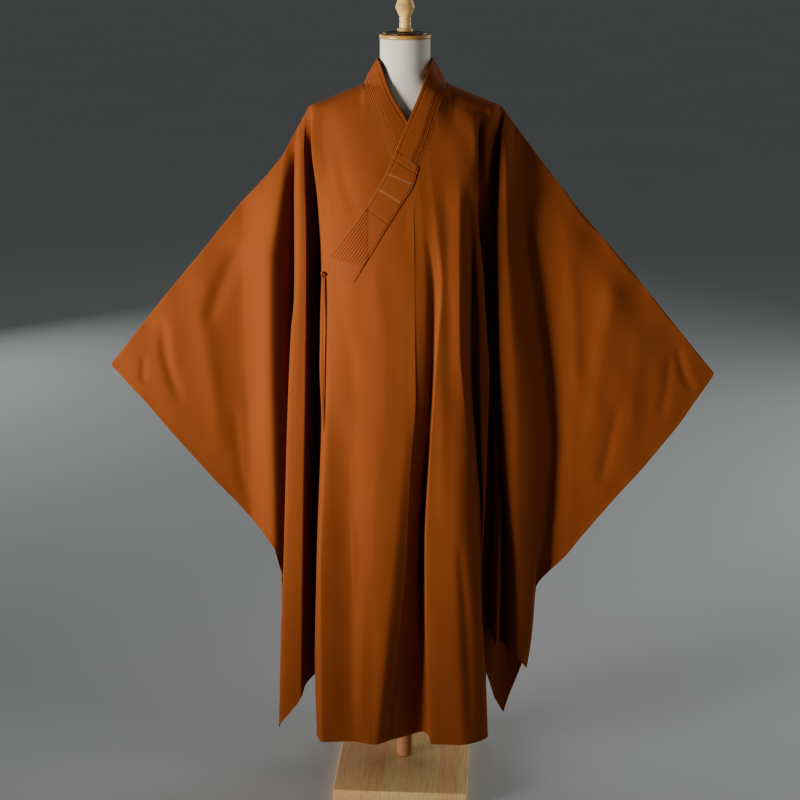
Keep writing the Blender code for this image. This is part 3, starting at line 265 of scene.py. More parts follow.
RIGHT_SLEEVE_BACK = (beside(BACK_RIGHT_LINES[0]),) + fold_lines(
    ("back pleat", "own", (1450, -195, 1), (1350, -200, 36), (1100, -204, 46), (600, -213, 47),
     (176, -230, 36)),
    ("back pleat edge", "own", (1430, -207, 1), (1350, -220, 36), (1000, -240, 50), (500, -262, 48),
     (110, -277, 30)),
    ("back valley", "own", (1385, -231, 1), (1250, -250, 28), (900, -262, 38), (480, -268, 34)),
    ("back panel inner", "own", (1300, -302, 1), (1150, -304, 28), (850, -306, 42), (580, -306, 42)),
    ("back panel middle", "own", (1187, -400, 1), (1050, -400, 25), (697, -400, 36)),
    ("back panel outer", "own", (1104, -470, 1), (1000, -470, 22), (783, -470, 32)),
    ("back cuff fold", "own", (1018, -540, 1), (950, -540, 12), (868, -540, 18)),
    ("cuff corner", "own", (939, -604, 1), (934, -604, 2)),
)
LEFT_SLEEVE_FRONT = (beside(LEFT_FRONT_LINES[-1]),) + fold_lines(
    ("strip fold", "own", (1459, 192, -1), (1400, 183, -14), (1250, 176, -10), (900, 182, -8),
     (740, 188, -14), (640, 198, -44), (460, 198, -50), (322, 197, -46)),
    ("strip valley", "own", (1455, 194, -1), (1400, 186, -22), (1250, 181, -20), (900, 191, -18),
     (740, 198, -14), (600, 210, -8), (308, 213, -6)),
    ("pleat inner edge", "own", (1450, 197, -1), (1400, 188, -44), (1250, 184, -59), (1027, 190, -64),
     (877, 197, -61), (658, 212, -50), (522, 222, -40), (304, 226, -34)),
    ("pleat ridge", "own", (1444, 203, -1), (1400, 196, -45), (1255, 198, -62), (1027, 211, -69),
     (877, 222, -68), (658, 231, -63), (522, 241, -57), (290, 247, -50)),
    ("pleat outer edge", "own", (1422, 220, -1), (1350, 216, -32), (1213, 222, -44), (1035, 248, -47),
     (857, 268, -47), (658, 274, -44), (409, 273, -40), (262, 264, -34)),
    ("outer valley", "own", (1392, 243, -1), (1300, 240, -16), (1213, 245, -17), (1035, 273, -14),
     (857, 298, -11), (754, 306, -10), (567, 298, -9), (440, 282, -9)),
    ("panel inner", "own", (1302, 314, -1), (1200, 320, -18), (900, 352, -22), (540, 358, -22)),
    ("panel middle", "own", (1200, 400, -1), (1050, 412, -22), (634, 428, -26)),
    ("panel outer", "own", (1096, 490, -1), (980, 496, -14), (720, 500, -22)),
    ("cuff fold", "own", (1002, 568, -1), (920, 570, -9), (812, 571, -14)),
    ("cuff corner", "own", (918, 638, -1), (913, 638, -2)),
)
LEFT_SLEEVE_BACK = (beside(BACK_LEFT_LINES[-1]),) + fold_lines(
    ("back pleat", "own", (1455, 195, 1), (1350, 194, 38), (1100, 198, 46), (600, 206, 44), (160, 200, 24)),
    ("cuff tip", "own", (1440, 206, 1), (1350, 206, 42), (1000, 216, 56), (500, 224, 50), (123, 221, 26)),
    ("back pleat edge", "own", (1415, 225, 1), (1300, 232, 34), (1000, 252, 48), (500, 264, 44),
     (262, 264, 24)),
    ("back valley", "own", (1380, 252, 1), (1250, 258, 18), (900, 282, 24), (445, 286, 20)),
    ("back panel inner", "own", (1302, 314, 1), (1200, 320, 24), (900, 352, 38), (540, 358, 38)),
    ("back panel middle", "own", (1200, 400, 1), (1050, 412, 22), (634, 428, 32)),
    ("back panel outer", "own", (1096, 490, 1), (980, 496, 16), (720, 500, 24)),
    ("back cuff fold", "own", (1002, 568, 1), (920, 570, 10), (812, 571, 15)),
    ("cuff corner", "own", (918, 638, 1), (913, 638, 2)),
)
UNDERARM = 0.240                # height where a sleeve's first line ends
LEFT_UNDERARM = 0.350           # and the left front sleeve's

# Collar band stations: name, free neck edge (x, z), sewn outer edge (x, z)
OVER_COLLAR = (
    ("neck side", (0.0510, 1.5540), (0.0800, 1.5080)),
    ("collar bone", (0.0300, 1.5000), (0.0630, 1.4620)),
    ("crossing", (0.0050, 1.4430), (0.0465, 1.4050)),
    ("strips end", (-0.0170, 1.3930), (0.0265, 1.3590)),
    ("first cross row", (-0.0380, 1.3470), (0.0160, 1.3250)),
    ("quilting starts", (-0.0560, 1.3160), (-0.0080, 1.2870)),
    ("chest", (-0.0870, 1.2660), (-0.0410, 1.2350)),
    ("lower chest", (-0.1200, 1.2210), (-0.0660, 1.1920)),
    ("quilting ends", (-0.1500, 1.1790), (-0.0815, 1.1680)),
    ("overlap corner", (-0.1640, 1.1480), (-0.1000, 1.1350)),
)
UNDER_COLLAR = (
    ("neck side", (-0.0510, 1.5540), (-0.0800, 1.5080)),
    ("collar bone", (-0.0290, 1.4990), (-0.0620, 1.4620)),
    ("crossing", (0.0030, 1.4470), (-0.0370, 1.4020)),
    ("under the left front", (0.0260, 1.4050), (-0.0180, 1.3560)),
    ("under end", (0.0460, 1.3660), (-0.0010, 1.3250)),
)
NAPE_STATIONS = 6               # band sections from the centre back to the neck's side
NAPE_SWEEP = math.radians(106)  # how far round the neck edge the back part runs
NAPE_NECK_RADIUS = 0.0518       # neck edge of the band
STRIPS_END = 3                  # row of OVER_COLLAR where the stepped layers end
STITCHED_AFTER = 0.01           # the stitched band starts this much of a row later
UNDER_STRIPS_END = 3            # row of UNDER_COLLAR where its layers end
QUILT_TO = 8                    # row of OVER_COLLAR where the ribs end
NAPE_NECK_Z = 1.5545            # free edge of the band at the nape
NAPE_FOOT_Z = 1.4985            # sewn edge of the band at the nape
NAPE_FOOT_HALF = 0.0800         # half width of the back neck hole
NECK_CORNER = 82.2 / 1000       # where a panel's top edge leaves the collar for the shoulder
CORNER_TURN = 0.004             # half the stretch of x over which the shoulder's roll sets in there
BAND_TUCK = 0.0040              # the panels run this far in under the collar band

# Tie at the overlap corner: a knot, and a tail that hangs down the rolled edge of the overlap
TIE_PATH = (                    # height, x, y down the middle of the tail
    (1.1355, -0.1625, -0.0725), (1.0800, -0.1655, -0.0770), (1.0300, -0.1672, -0.0800),
    (0.9300, -0.1668, -0.0868), (0.8200, -0.1662, -0.0925),
)
TIE_TURN = math.radians(28)     # the tail's face turns this far to the robe's right
TAIL_WALL = 0.0013              # its folded cloth
KNOT_SIZE = (0.0110, 0.0090, 0.0130)
KNOT_CENTRE = (-0.1620, -0.0735, 1.1425)

# Soft creases of each panel in millimetres: half width, height (negative is a trough), and a path of (x, z)
CREASES = {
    "overlap_front": (
        (16, -2.2, (-140, 1120), (-100, 900), (-110, 560)),
        (18, 2, (-60, 1180), (-40, 960), (-66, 620)),
        (30, -6.5, (-135, 900), (-118, 600), (-122, 131)),
        (14, 3, (-85, 560), (-92, 320), (-96, 140)),
        (14, -2.8, (-68, 500), (-72, 300), (-74, 131)),
    ),
    "left_front": (
        (12, 1.8, (62, 1300), (70, 1000), (82, 600)),
        (10, -3, (110, 600), (128, 400), (140, 150)),
    ),
    "right_front": (
        (12, -2.6, (-140, 1440), (-120, 1330), (-90, 1260)),
        (10, 2, (-170, 1400), (-150, 1280), (-140, 1200)),
    ),
    "left_back": (
        (16, -2.6, (60, 1440), (40, 1250), (30, 1000)),
        (14, -2.8, (150, 1400), (120, 1300), (100, 1150)),
        (14, 3, (100, 900), (120, 600), (125, 200)),
    ),
    "right_back": (
        (16, -2.6, (-60, 1430), (-45, 1250), (-35, 980)),
        (14, -2.8, (-155, 1400), (-125, 1290), (-105, 1120)),
        (14, 3, (-100, 860), (-108, 560), (-110, 180)),
    ),
    "right_sleeve_front": (
        (17, -5.2, (-330, 1190), (-365, 1120), (-405, 1020)),
        (14, 3, (-300, 1220), (-318, 1080), (-322, 860)),
        (12, -5, (-495, 1030), (-490, 960), (-462, 860)),
        (9, -3, (-535, 960), (-540, 900)),
        (20, 3.4, (-420, 1080), (-395, 900), (-380, 740)),
        (12, -2.2, (-350, 860), (-345, 740), (-330, 640)),
    ),
    "right_sleeve_back": (
        (17, -4.8, (-335, 1180), (-372, 1100), (-420, 980)),
        (14, 3.6, (-470, 1040), (-462, 950), (-440, 830)),
        (18, -4, (-400, 1060), (-370, 900), (-355, 720)),
    ),
    "left_sleeve_front": (
        (20, 3.2, (420, 1120), (400, 960), (385, 760)),
        (10, -3.6, (560, 980), (575, 920), (600, 880)),
        (12, -2.4, (545, 960), (540, 880), (530, 820)),
        (13, -3, (440, 860), (425, 760), (410, 680)),
        (16, 2.8, (330, 1180), (345, 1020), (362, 840)),
        (18, 2.2, (480, 1020), (475, 900), (470, 760)),
    ),
    "left_sleeve_back": (
        (17, -4.6, (350, 1190), (380, 1080), (400, 900)),
        (15, 3.4, (470, 1060), (462, 940), (450, 780)),
        (11, -3, (540, 980), (548, 900), (545, 830)),
    ),
}

BAND_LIFT = 0.0036              # a collar band over the cloth that it lies on
STITCHED_LIFT = 0.0022          # the stitched lower band over the cloth
BAND_CLOTH = 0.0014             # wall of the bands
STEPS = 2                       # stepped layers beside each band
STRIP_WIDTH = 0.0085            # each stepped layer
STRIP_LAP = 0.0012              # a layer's inner edge runs this far under the one above it
BAND_STEP = 0.0035              # mesh columns along a band
BAND_ACROSS = 0.0011            # mesh rows across a band
EDGE_ROUND = 0.0016             # stretch over which a band's edge rounds down
TOPSTITCH_IN = 0.0075           # topstitching from the band's free edge
EDGE_STITCH_IN = 0.0024         # and along its sewn edge
GROOVE = 0.0009                 # half width of a stitched groove
BAND_RELIEF = 0.0008            # depth of a groove, and drop of a rounded edge
NAPE_LENGTH = 0.13              # longest edge of a band from the centre back to the neck's side
ROW_LENGTH = 0.055              # longest row of a band down the front
STITCHED_STEP = 0.0016          # mesh columns along the stitched band
RIB_COLUMNS = 6                 # mesh rows across each rib
RIBS_IN = 0.0004                # the ribbed stretch lies this much deeper
QUILT_ROWS = 12                 # ribs across the stitched band
QUILT_START = -0.0724           # x of the upright line that the ribs start from
QUILT_TURN = 0.001              # half the stretch of x over which they set in there
QUILT_FADE = 0.04               # half the stretch over which they end, in collar rows
# Cross seams of the stitched band: place in collar rows, how much of the pale thread shows, and its
# reach from the sewn edge as a share of the width
CROSS_ROWS = ((3.06, 0.60, 0.70), (3.40, 0.0, 0.0), (3.98, 0.95, 0.95), (4.93, 0.85, 0.95), (5.72, 0.0, 0.0))
SEAM_REACH = 0.035              # half width of a cross seam's groove and lip, in collar rows
# The lip and the groove of a cross seam: height, and place from the seam in half widths
SEAM_SHAPE = ((0.0003, 0.5), (-0.0007, -0.8))
THREAD_HALF = 0.015             # half width of a thread line, in collar rows
THREAD_IN = 0.08                # it starts this share of the width in from the sewn edge
WIDEST_BAND = 0.06              # a plain band's width where it is widest, for its mesh
WHOLE_WIDTH = 1.0               # more than any band's width: the band reaches its neck edge

STAND_SIZE = (0.287, 0.330, 0.035)   # the base, turned a little about the pole
STAND_TURN = math.radians(-3.9)
STAND_BEVEL = 0.0022            # radius of its edges
BLOCK_RIMS, BLOCK_CORNER = 5, 6 # rings over a rounded rim, and points round a corner
POLE = (0.017, 0.0353, 0.7997)  # radius, and the heights of its ends
POLE_EDGE = 0.0012              # bevel of its rims

FLOOR_HALF, FLOOR_POINTS = 40.0, 9   # half width of the floor, and the points along its side
FLOOR_Z = -0.0005
LAMPS = (
    # name, strength and its multiplier, size, place, aim
    ("key", "key", 1.0, 1.2, (-3.15, -1.95, 0.95), (-0.10, 0.0, 1.16)),
    ("fill", "fill", 1.7, 1.8, (3.30, -1.55, 2.45), (0.0, 0.0, 1.25)),
    ("rim", "fill", 3.2, 2.0, (3.10, 2.10, 1.90), (0.0, 0.0, 1.1)),
    ("back", "fill", 2.4, 2.5, (-2.40, 3.20, 1.70), (0.0, 0.0, 1.0)),
)
CAMERA_PLACE = (-0.010, -3.1, 1.807)
CAMERA_PITCH = math.radians(73.0)
CAMERA_LENS = 70.155
SENSOR = 36.0


def linear(code):
    """An sRGB hex colour as linear light.

    A share c is c / 12.92 up to 0.04045, and ((c + 0.055) / 1.055) ** 2.4 above it.
    """
    shares = [int(code[k:k + 2], 16) / 255 for k in (1, 3, 5)]
    colour = [c / 12.92 if c <= 0.04045 else ((c + 0.055) / 1.055) ** 2.4 for c in shares]
    return tuple(colour) + (1.0,)


# ---------------------------------------------------------------- curves and sections
def smooth_through(knots, values, at, own_column=False):
    """Cubic through the values with no overshoot: its slope is zero at each local high or low.

    With own_column the values' second axis counts the places in at, and each place reads its own column.
    """
    knots, values, at = np.asarray(knots, float), np.asarray(values, float), np.asarray(at, float)
    at = np.clip(at, knots[0], knots[-1])
    step = np.diff(knots)
    chord = np.diff(values, axis=0) / step.reshape((-1,) + (1,) * (values.ndim - 1))
    slope = np.zeros_like(values)
    slope[0], slope[-1] = chord[0], chord[-1]
    before, after = chord[:-1], chord[1:]
    total = np.abs(before) + np.abs(after) + 1e-12
    slope[1:-1] = np.where(before * after > 0, 2 * before * after * np.sign(after) / total, 0.0)
    span = np.clip(np.searchsorted(knots, at, side="right") - 1, 0, len(step) - 1)
    low = (span, np.arange(len(at))) if own_column else (span,)
    high = (span + 1,) + low[1:]
    shape = at.shape + (1,) * (values.ndim - (2 if own_column else 1))
    width = step[span].reshape(shape)
    u = ((at - knots[span]) / step[span]).reshape(shape)
    return ((1 + 2 * u) * (1 - u) ** 2 * values[low] + u * (1 - u) ** 2 * width * slope[low]
            + u * u * (3 - 2 * u) * values[high] - u * u * (1 - u) * width * slope[high])


def ramp(value, start, end):
    """Smooth step: 0 before start, 1 after end, t * t * (3 - 2 t) between them."""
    t = np.clip((value - start) / (end - start), 0.0, 1.0)
    return t * t * (3 - 2 * t)


def body_section(z, column):
    rows = np.array(BODY_SECTIONS[::-1])
    return np.interp(z, rows[:, 0], rows[:, column])


def body_depth(x, z, column):
    """How far the body reaches from the middle plane at x: depth * sqrt(1 - |x / half| ** power)."""
    ratio = np.clip(np.abs(x) / body_section(z, 1), 0.0, 1.0)
    return body_section(z, column) * np.sqrt(1.0 - ratio ** SECTION_POWER)


def front_y(x, z, inward=0.0):
    return -body_depth(x, z, 2) + inward


def under_y(x, z, inward=0.0):
    """The right front: behind the left front, but out at the body section along the shoulder."""
    edge = np.clip((body_section(z, 1) - np.abs(x)) / UNDER_FADE, 0.0, 1.0)
    return -body_depth(x, z, 2) + UNDER_LAYER * edge + inward


def back_y(x, z, inward=0.0):
    return body_depth(x, z, 3) - inward


DEPTH_RULES = {"body": front_y, "under": under_y, "back": back_y}


def line_at(line, z):
    """A fold line's x and y at heights z, on a last axis."""
    rule, knots = line[1], np.array(line[2])[::-1]
    x, depth = np.moveaxis(smooth_through(knots[:, 0], knots[:, 1:], z.ravel()).reshape(z.shape + (2,)), -1, 0)
    return np.stack([x, depth if rule == "own" else DEPTH_RULES[rule](x, z, depth)], -1)


def section(lines, places, z, side):
    """Points at heights z (columns, rows) on the smooth curve through the fold lines, one place a column."""
    stations = np.stack([line_at(line, z) for line in lines])
    flat = smooth_through(np.arange(len(lines)), stations, places, own_column=True)
    y = side * np.maximum(side * flat[..., 1], EDGE_FROM_MIDDLE)
    return np.stack([flat[..., 0], y, z], -1)


def even_places(lines):
    """Places across a panel that keep its columns narrow: each fold's share grows with its widest arc."""
    z = np.linspace(max(line[2][-1][0] for line in lines), min(line[2][0][0] for line in lines), 12)
    between = np.stack([line_at(line, z) for line in lines])
    arc = np.linalg.norm(np.diff(between, axis=0), axis=-1).max(axis=1)
    cuts = np.maximum(np.ceil(ARC_SPARE * arc / COLUMN_STEP), 3).astype(int)
    spans = [k + np.arange(cut) / cut for k, cut in enumerate(cuts)]
    return np.concatenate(spans + [[len(lines) - 1.0]])


# ---------------------------------------------------------------- meshes
def surface_normals(points):
    """Unit normals of a grid: the cross product of its steps along the two ways."""
    normals = np.cross(np.gradient(points, axis=0), np.gradient(points, axis=1))
    return normals / np.maximum(np.linalg.norm(normals, axis=-1, keepdims=True), 1e-12)


def cloth_map(points):
    """Map of the cloth in metres: the mean length along the columns' way, and the height."""
    across = np.linalg.norm(np.diff(points, axis=0), axis=-1).mean(axis=1)
    u = np.broadcast_to(np.concatenate([[0.0], np.cumsum(across)])[:, None], points.shape[:2])
    return np.stack([u, points[..., 2]], -1)


def grid_quads(index):
    return np.stack([index[:-1, :-1], index[1:, :-1], index[1:, 1:], index[:-1, 1:]], -1).reshape(-1, 4)


def finished_mesh(name, points, faces, surface_material, uv=None, sharp=50.0):
    """A new object at the origin with smooth faces, edges sharper than the angle kept sharp."""
    mesh = bpy.data.meshes.new(name)
    mesh.from_pydata(points.tolist(), [], [list(face) for face in faces])
    mesh.materials.append(surface_material)
    if uv is not None:
        corner = np.empty(len(mesh.loops), np.int32)
        mesh.loops.foreach_get("vertex_index", corner)
        mesh.uv_layers.new(name="cloth_metres").data.foreach_set("uv", uv[corner].astype(np.float32).ravel())
    mesh.shade_smooth()
    mesh.set_sharp_from_angle(angle=math.radians(sharp))
    made = bpy.data.objects.new(name, mesh)
    bpy.context.scene.collection.objects.link(made)
    return made


def wall(name, points, thickness, way, surface_material):
    """A cloth wall: the grid moved half the thickness along its normals to each side, and a rim between.

    The way is a vector that the outer face looks along, on the whole.
    """
    columns, rows = points.shape[:2]
    normals = surface_normals(points)
    if np.sum(normals.mean(axis=(0, 1)) * way) < 0:
        points, normals = points[::-1], -normals[::-1]
        thickness = thickness[::-1] if np.ndim(thickness) else thickness
    half = np.broadcast_to(np.asarray(thickness, float) / 2, (columns, rows))[..., None]
    outer = (points + normals * half).reshape(-1, 3)
    inner = (points - normals * half).reshape(-1, 3)
    count = columns * rows
    index = np.arange(count).reshape(columns, rows)
    face = grid_quads(index)
    rim = np.concatenate([index[:, 0], index[-1, 1:], index[-2::-1, -1], index[0, -2::-1]])
    start, end = rim[:-1], rim[1:]
    sides = np.stack([end, start, start + count, end + count], -1)
    faces = np.concatenate([face, face[:, ::-1] + count, sides])
    uv = np.tile(cloth_map(points).reshape(-1, 2), (2, 1))
    return finished_mesh(name, np.concatenate([outer, inner]), faces.tolist(), surface_material, uv)


def own_piece(made, slot, *nodes):
    """A piece rides on the part and stands for its CAD nodes, which are hidden; the slot is not used."""
    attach(made, "root")
    if nodes:
        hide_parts(*nodes)
    return made


# ---------------------------------------------------------------- cloth panels
def crease_height(x, z, creases):
    """Sum of soft ridges and troughs: height * taper * exp(-(distance to the path / half width) ** 2).

    The taper is 1 - (2 s - 1) ** 4 of the share s along the path, so each one fades out at both ends.
    """
    total = np.zeros_like(x)
    for half_width, height, *path in creases:
        given, wanted = np.linspace(0, 1, len(path)), np.linspace(0, 1, CREASE_POINTS)
        path = smooth_through(given, np.array(path) / 1000, wanted)
        nearest, share = np.full(x.shape, np.inf), np.zeros_like(x)
        for k, (start, end) in enumerate(zip(path[:-1], path[1:])):
            run = end - start
            t = np.clip(((x - start[0]) * run[0] + (z - start[1]) * run[1]) / (run @ run), 0.0, 1.0)
            distance = np.hypot(x - start[0] - t * run[0], z - start[1] - t * run[1])
            closer = distance < nearest
            nearest = np.where(closer, distance, nearest)
            share = np.where(closer, (k + t) / (len(path) - 1), share)
        total += height / 1000 * (1 - (2 * share - 1) ** 4) * np.exp(-(nearest / (half_width / 1000)) ** 2)
    return total


def rumple(x, z, seed):
    """A faint unevenness: the mean of sine waves of 60 to 220 mm, mostly upright as cloth hangs."""
    draw = np.random.default_rng(seed)
    total = np.zeros_like(x)
    for _ in range(WAVES):
        length, lean, phase = draw.uniform(0.06, 0.22), draw.normal(0.0, 0.35), draw.uniform(0, 2 * math.pi)
        total += np.sin(2 * math.pi * (x * math.cos(lean) + z * math.sin(lean)) / length + phase)
    return total / WAVES


def row_drops(length, rows):
    """Heights below the top edge, a row for each column: square law over the roll, even, close at the hem."""
    roll = np.minimum(ROLL_LENGTH, ROLL_SHARE * length)[:, None]
    hem = np.minimum(HEM_STRETCH * props("sizes").hem_width, ROLL_SHARE * length)[:, None]
    length = length[:, None]
    top = roll * (np.arange(ROLL_ROWS) / ROLL_ROWS) ** 2
    middle = roll + (length - hem - roll) * np.linspace(0, 1, rows)[:-1]
    return np.concatenate([top, middle, length - hem * np.array(HEM_ROWS)], axis=1)


def rolled(points, roll, side, weight, hold):
    """Near a top fold the cloth draws in to the middle plane: a soft least of its depth and the roll.

    The soft least of a and b is a * b / (a ** p + b ** p) ** (1 / p), and the roll is read by the root of
    the drop.  Where hold is 1, the depth over the first rows is at least that of the settled row below them.
    """
    drops, reach = np.array(roll).T
    limit = np.interp(np.sqrt(points[:, :1, 2] - points[..., 2]), np.sqrt(drops), reach)
    depth = side * points[..., 1]
    first = depth[:, :SETTLED_ROW]
    held = first + hold[:, None] * (np.maximum(first, depth[:, SETTLED_ROW, None]) - first)
    settled = np.concatenate([held, depth[:, SETTLED_ROW:]], axis=1)
    soft = settled * limit / ((settled ** ROLL_POWER + limit ** ROLL_POWER) ** (1 / ROLL_POWER) + 1e-12)
    points[..., 1] = side * (depth + (soft - depth) * weight[:, None])
    return points


def panel_points(lines, bottoms, top_edge, side, rows, roll, on_fold):
    """The surface of a panel: (columns, rows, 3), and each point's height over the panel's lower edge."""
    at = np.arange(len(lines))
    places = even_places(lines)
    top = smooth_through(at, [line[2][0][0] for line in lines], places)
    bottom = np.interp(places, at, bottoms)
    for _ in range(TOP_PASSES):
        x = section(lines, places, top[:, None], side)[:, 0, 0]
        top = np.maximum(top_edge(x), bottom + SHORTEST_COLUMN)
    drops = row_drops(top - bottom, rows)
    points = section(lines, places, top[:, None] - drops, side)
    if roll:
        weight = on_fold(x) if on_fold else np.ones_like(x)
        hold = 1 - ramp(np.abs(x), *ARMHOLE_FADE) if on_fold else np.zeros_like(x)
        points = rolled(points, roll, side, weight, hold)
    return points, (top - bottom)[:, None] - drops


def hem_thickness(over_edge):
    """The cloth's wall: thicker over the turned-up hem, with a groove at its stitching."""
    sizes = props("sizes")
    turned_up = 1 - ramp(over_edge, sizes.hem_width + HEM_EDGE[0], sizes.hem_width + HEM_EDGE[1])
    stitched = np.exp(-((over_edge - HEM_STITCHES * sizes.hem_width) / HEM_GROOVE) ** 2)
    return sizes.cloth * (1 + HEM_MORE * turned_up - HEM_LESS * stitched)


def cloth_panel(name, lines, top_edge, side, rows, seed, roll=None, on_fold=None, underarm=None):
    """One panel of the robe, with its creases, its unevenness and its hem.

    Its lines end at their last knots, but a sleeve's first line ends at the underarm.
    """
    bottoms = [line[2][-1][0] for line in lines]
    if underarm:
        bottoms[0] = underarm
    points, over_edge = panel_points(lines, bottoms, top_edge, side, rows, roll, on_fold)
    sizes = props("sizes")
    x, z = points[..., 0], points[..., 2]
    drop = points[:, :1, 2] - z
    rise = sizes.crease * crease_height(x, z, CREASES[name]) + sizes.rumple * rumple(x, z, seed)
    rise *= ramp(drop, 0.0, CREASE_START)
    edge = np.minimum(np.arange(len(x)), np.arange(len(x))[::-1])[:, None]
    points[..., 1] += side * rise * ramp(edge / FADED_COLUMNS, 0.0, 1.0)
    points[..., 1] = side * np.maximum(side * points[..., 1], 0.0)
    made = wall(f"{name}_cloth", points, hem_thickness(over_edge), (0.0, side, 0.0), woven("dyed_twill"))
    return own_piece(made, "robe_twill", name)


# ---------------------------------------------------------------- top edges of the panels
def shoulder_z(x):
    rows = np.array(BODY_SECTIONS)[2:5]
    return np.interp(np.abs(x), rows[:, 1], rows[:, 0])


def collar_edge_z(x, stations):
    edge = np.array(sorted(station[2] for station in stations))
    return np.interp(x, edge[:, 0], edge[:, 1])


def over_top(x):
    """Top edge of the left front: the shoulder, the collar's sewn edge, and below the overlap's corner."""
    (neck_x, neck_z), (sewn_x, sewn_z) = OVER_COLLAR[-1][1:]
    below = np.interp(x, (neck_x, sewn_x), (neck_z, sewn_z)) - SEAM * 2
    along = np.minimum(collar_edge_z(x - SEAM * 2, OVER_COLLAR) + BAND_TUCK, shoulder_z(x))
    return np.where(x > NECK_CORNER, shoulder_z(x), np.where(x < sewn_x, below, along))


def under_top(x):
    along = np.minimum(collar_edge_z(x + SEAM * 2, UNDER_COLLAR) + BAND_TUCK, shoulder_z(x))
    return np.where(x < -NECK_CORNER, shoulder_z(x), along)


def back_top(x):
    rise = OVER_COLLAR[0][2][1] - NAPE_FOOT_Z
    nape = NAPE_FOOT_Z + rise * np.minimum(np.abs(x) / NAPE_FOOT_HALF, 1.0) ** 2
    return np.where(np.abs(x) > NECK_CORNER, shoulder_z(x), nape)


def past_corner(x):
    """1 on the shoulder and 0 beside the collar, with a short turn between them."""
    return ramp(np.abs(x), NECK_CORNER - CORNER_TURN, NECK_CORNER + CORNER_TURN)


def sleeve_top(top_fold):
    fold = np.array(sorted(top_fold))
    return lambda x: np.interp(x, fold[:, 0], fold[:, 1])


# ---------------------------------------------------------------- collar
def nape_stations(turn, side, lift):
    """Neck edge and sewn edge of the band round the nape; turn runs from 0 at the back to 1 at the side."""
    around = turn * NAPE_SWEEP
    neck = np.stack([side * NAPE_NECK_RADIUS * np.sin(around), NAPE_NECK_RADIUS * np.cos(around),
                     np.full_like(turn, NAPE_NECK_Z)], -1)
    down = np.sin(turn * math.pi / 2)
    foot_z = NAPE_FOOT_Z + (OVER_COLLAR[0][2][1] - NAPE_FOOT_Z) * down ** 2
    foot_x = NAPE_FOOT_HALF * down
    foot = np.stack([side * foot_x, back_y(foot_x, foot_z), foot_z], -1)
    outward = (neck + foot) * (1.0, 1.0, 0.0)
    outward /= np.linalg.norm(outward, axis=-1, keepdims=True)
    return neck + outward * lift, foot + outward * lift


def band_points(stations, depth, side, places, inner, outer, count, lift):
    """Points over a collar band: places along it by distances in from the sewn edge.

    Places up to NAPE_STATIONS - 1 lie round the nape, and the rest count the rows down the front.
    """
    front_start = NAPE_STATIONS - 1
    nape = places[places <= front_start]
    neck_back, sewn_back = nape_stations(nape / front_start, side, lift)
    rows = np.array([row[1:] for row in stations])
    front = smooth_through(np.arange(len(rows)), rows, places[places > front_start] - front_start)
    flat = np.concatenate([np.stack([neck_back, sewn_back], 1)[..., ::2], front])
    width = np.linalg.norm(flat[:, 1] - flat[:, 0], axis=-1)
    width[:len(nape)] = np.linalg.norm(sewn_back - neck_back, axis=-1)
    reach = np.linspace(0, 1, count)
    inside = np.minimum(inner, width)[:, None]
    distance = inside + (outer - inside) * reach
    share = (1.0 - distance / width[:, None])[..., None]
    back = neck_back[:, None] + share[:len(nape)] * (sewn_back - neck_back)[:, None]
    xz = front[:, None, 0] + share[len(nape):] * (front[:, None, 1] - front[:, None, 0])
    y = depth(xz[..., 0], xz[..., 1]) - lift
    down = np.stack([xz[..., 0], y, xz[..., 1]], -1)
    return np.concatenate([back, down]), distance, width[:, None]


def band_places(last):
    """Places along a plain band from the centre back, close enough together for its longest step."""
    turn = float(NAPE_STATIONS - 1)
    nape = np.arange(0.0, turn, BAND_STEP / (NAPE_LENGTH / turn))
    front = np.arange(turn, last, BAND_STEP / ROW_LENGTH)
    return np.concatenate([nape, front, [last]])


def raised(points, height):
    """The grid moved out along its own normals, away from the body's middle line."""
    normals = surface_normals(points)
    outward = points * (1.0, 1.0, 0.0) + (0.0, -0.05, 0.0)
    flip = np.sign(np.sum(normals * outward, axis=-1).mean())
    return points + flip * normals * height[..., None]


def band_relief(distance, inside, outside, topstitch=None):
    """A band's own height: rounded down at both edges, with a groove along each row of stitching."""
    from_edge = np.minimum(distance - outside, inside - distance)
    height = -BAND_RELIEF * (1 - np.clip(from_edge / EDGE_ROUND, 0.0, 1.0)) ** 2
    height = height - BAND_RELIEF * np.exp(-((distance - outside - EDGE_STITCH_IN) / GROOVE) ** 2)
    if topstitch is not None:
        height = height - BAND_RELIEF * np.exp(-((inside - distance - topstitch) / GROOVE) ** 2)
    return height


def band_piece(name, stations, depth, side, last, inner, outer, lift, topstitch=None):
    """One layer of a collar band, from the centre back to a row, as a wall with rounded edges."""
    widest = WIDEST_BAND if inner == WHOLE_WIDTH else inner - outer
    count = int(round(widest / BAND_ACROSS)) + 1
    points, distance, width = band_points(stations, depth, side, band_places(last), inner, outer, count, lift)
    points = raised(points, band_relief(distance, np.minimum(inner, width), outer, topstitch))
    made = wall(f"{name}_band", points, BAND_CLOTH, (side * 0.2, -1.0, 0.0), woven("dyed_twill_band"))
    return own_piece(made, "collar_twill", name)


def layered_collar(name, stations, depth, side, last):
    """The plain band and its stepped layers, each a little lower than the one above it."""
    band = band_piece(name, stations, depth, side, last, WHOLE_WIDTH, STEPS * STRIP_WIDTH, BAND_LIFT,
                      TOPSTITCH_IN)
    for step in range(1, STEPS + 1):
        lift = BAND_LIFT * (1.0 - step / (STEPS + 0.5))
        outer = (STEPS - step) * STRIP_WIDTH
        band_piece(f"{name}_step_{step}", stations, depth, side, last,
                                outer + STRIP_WIDTH + STRIP_LAP, outer, lift)


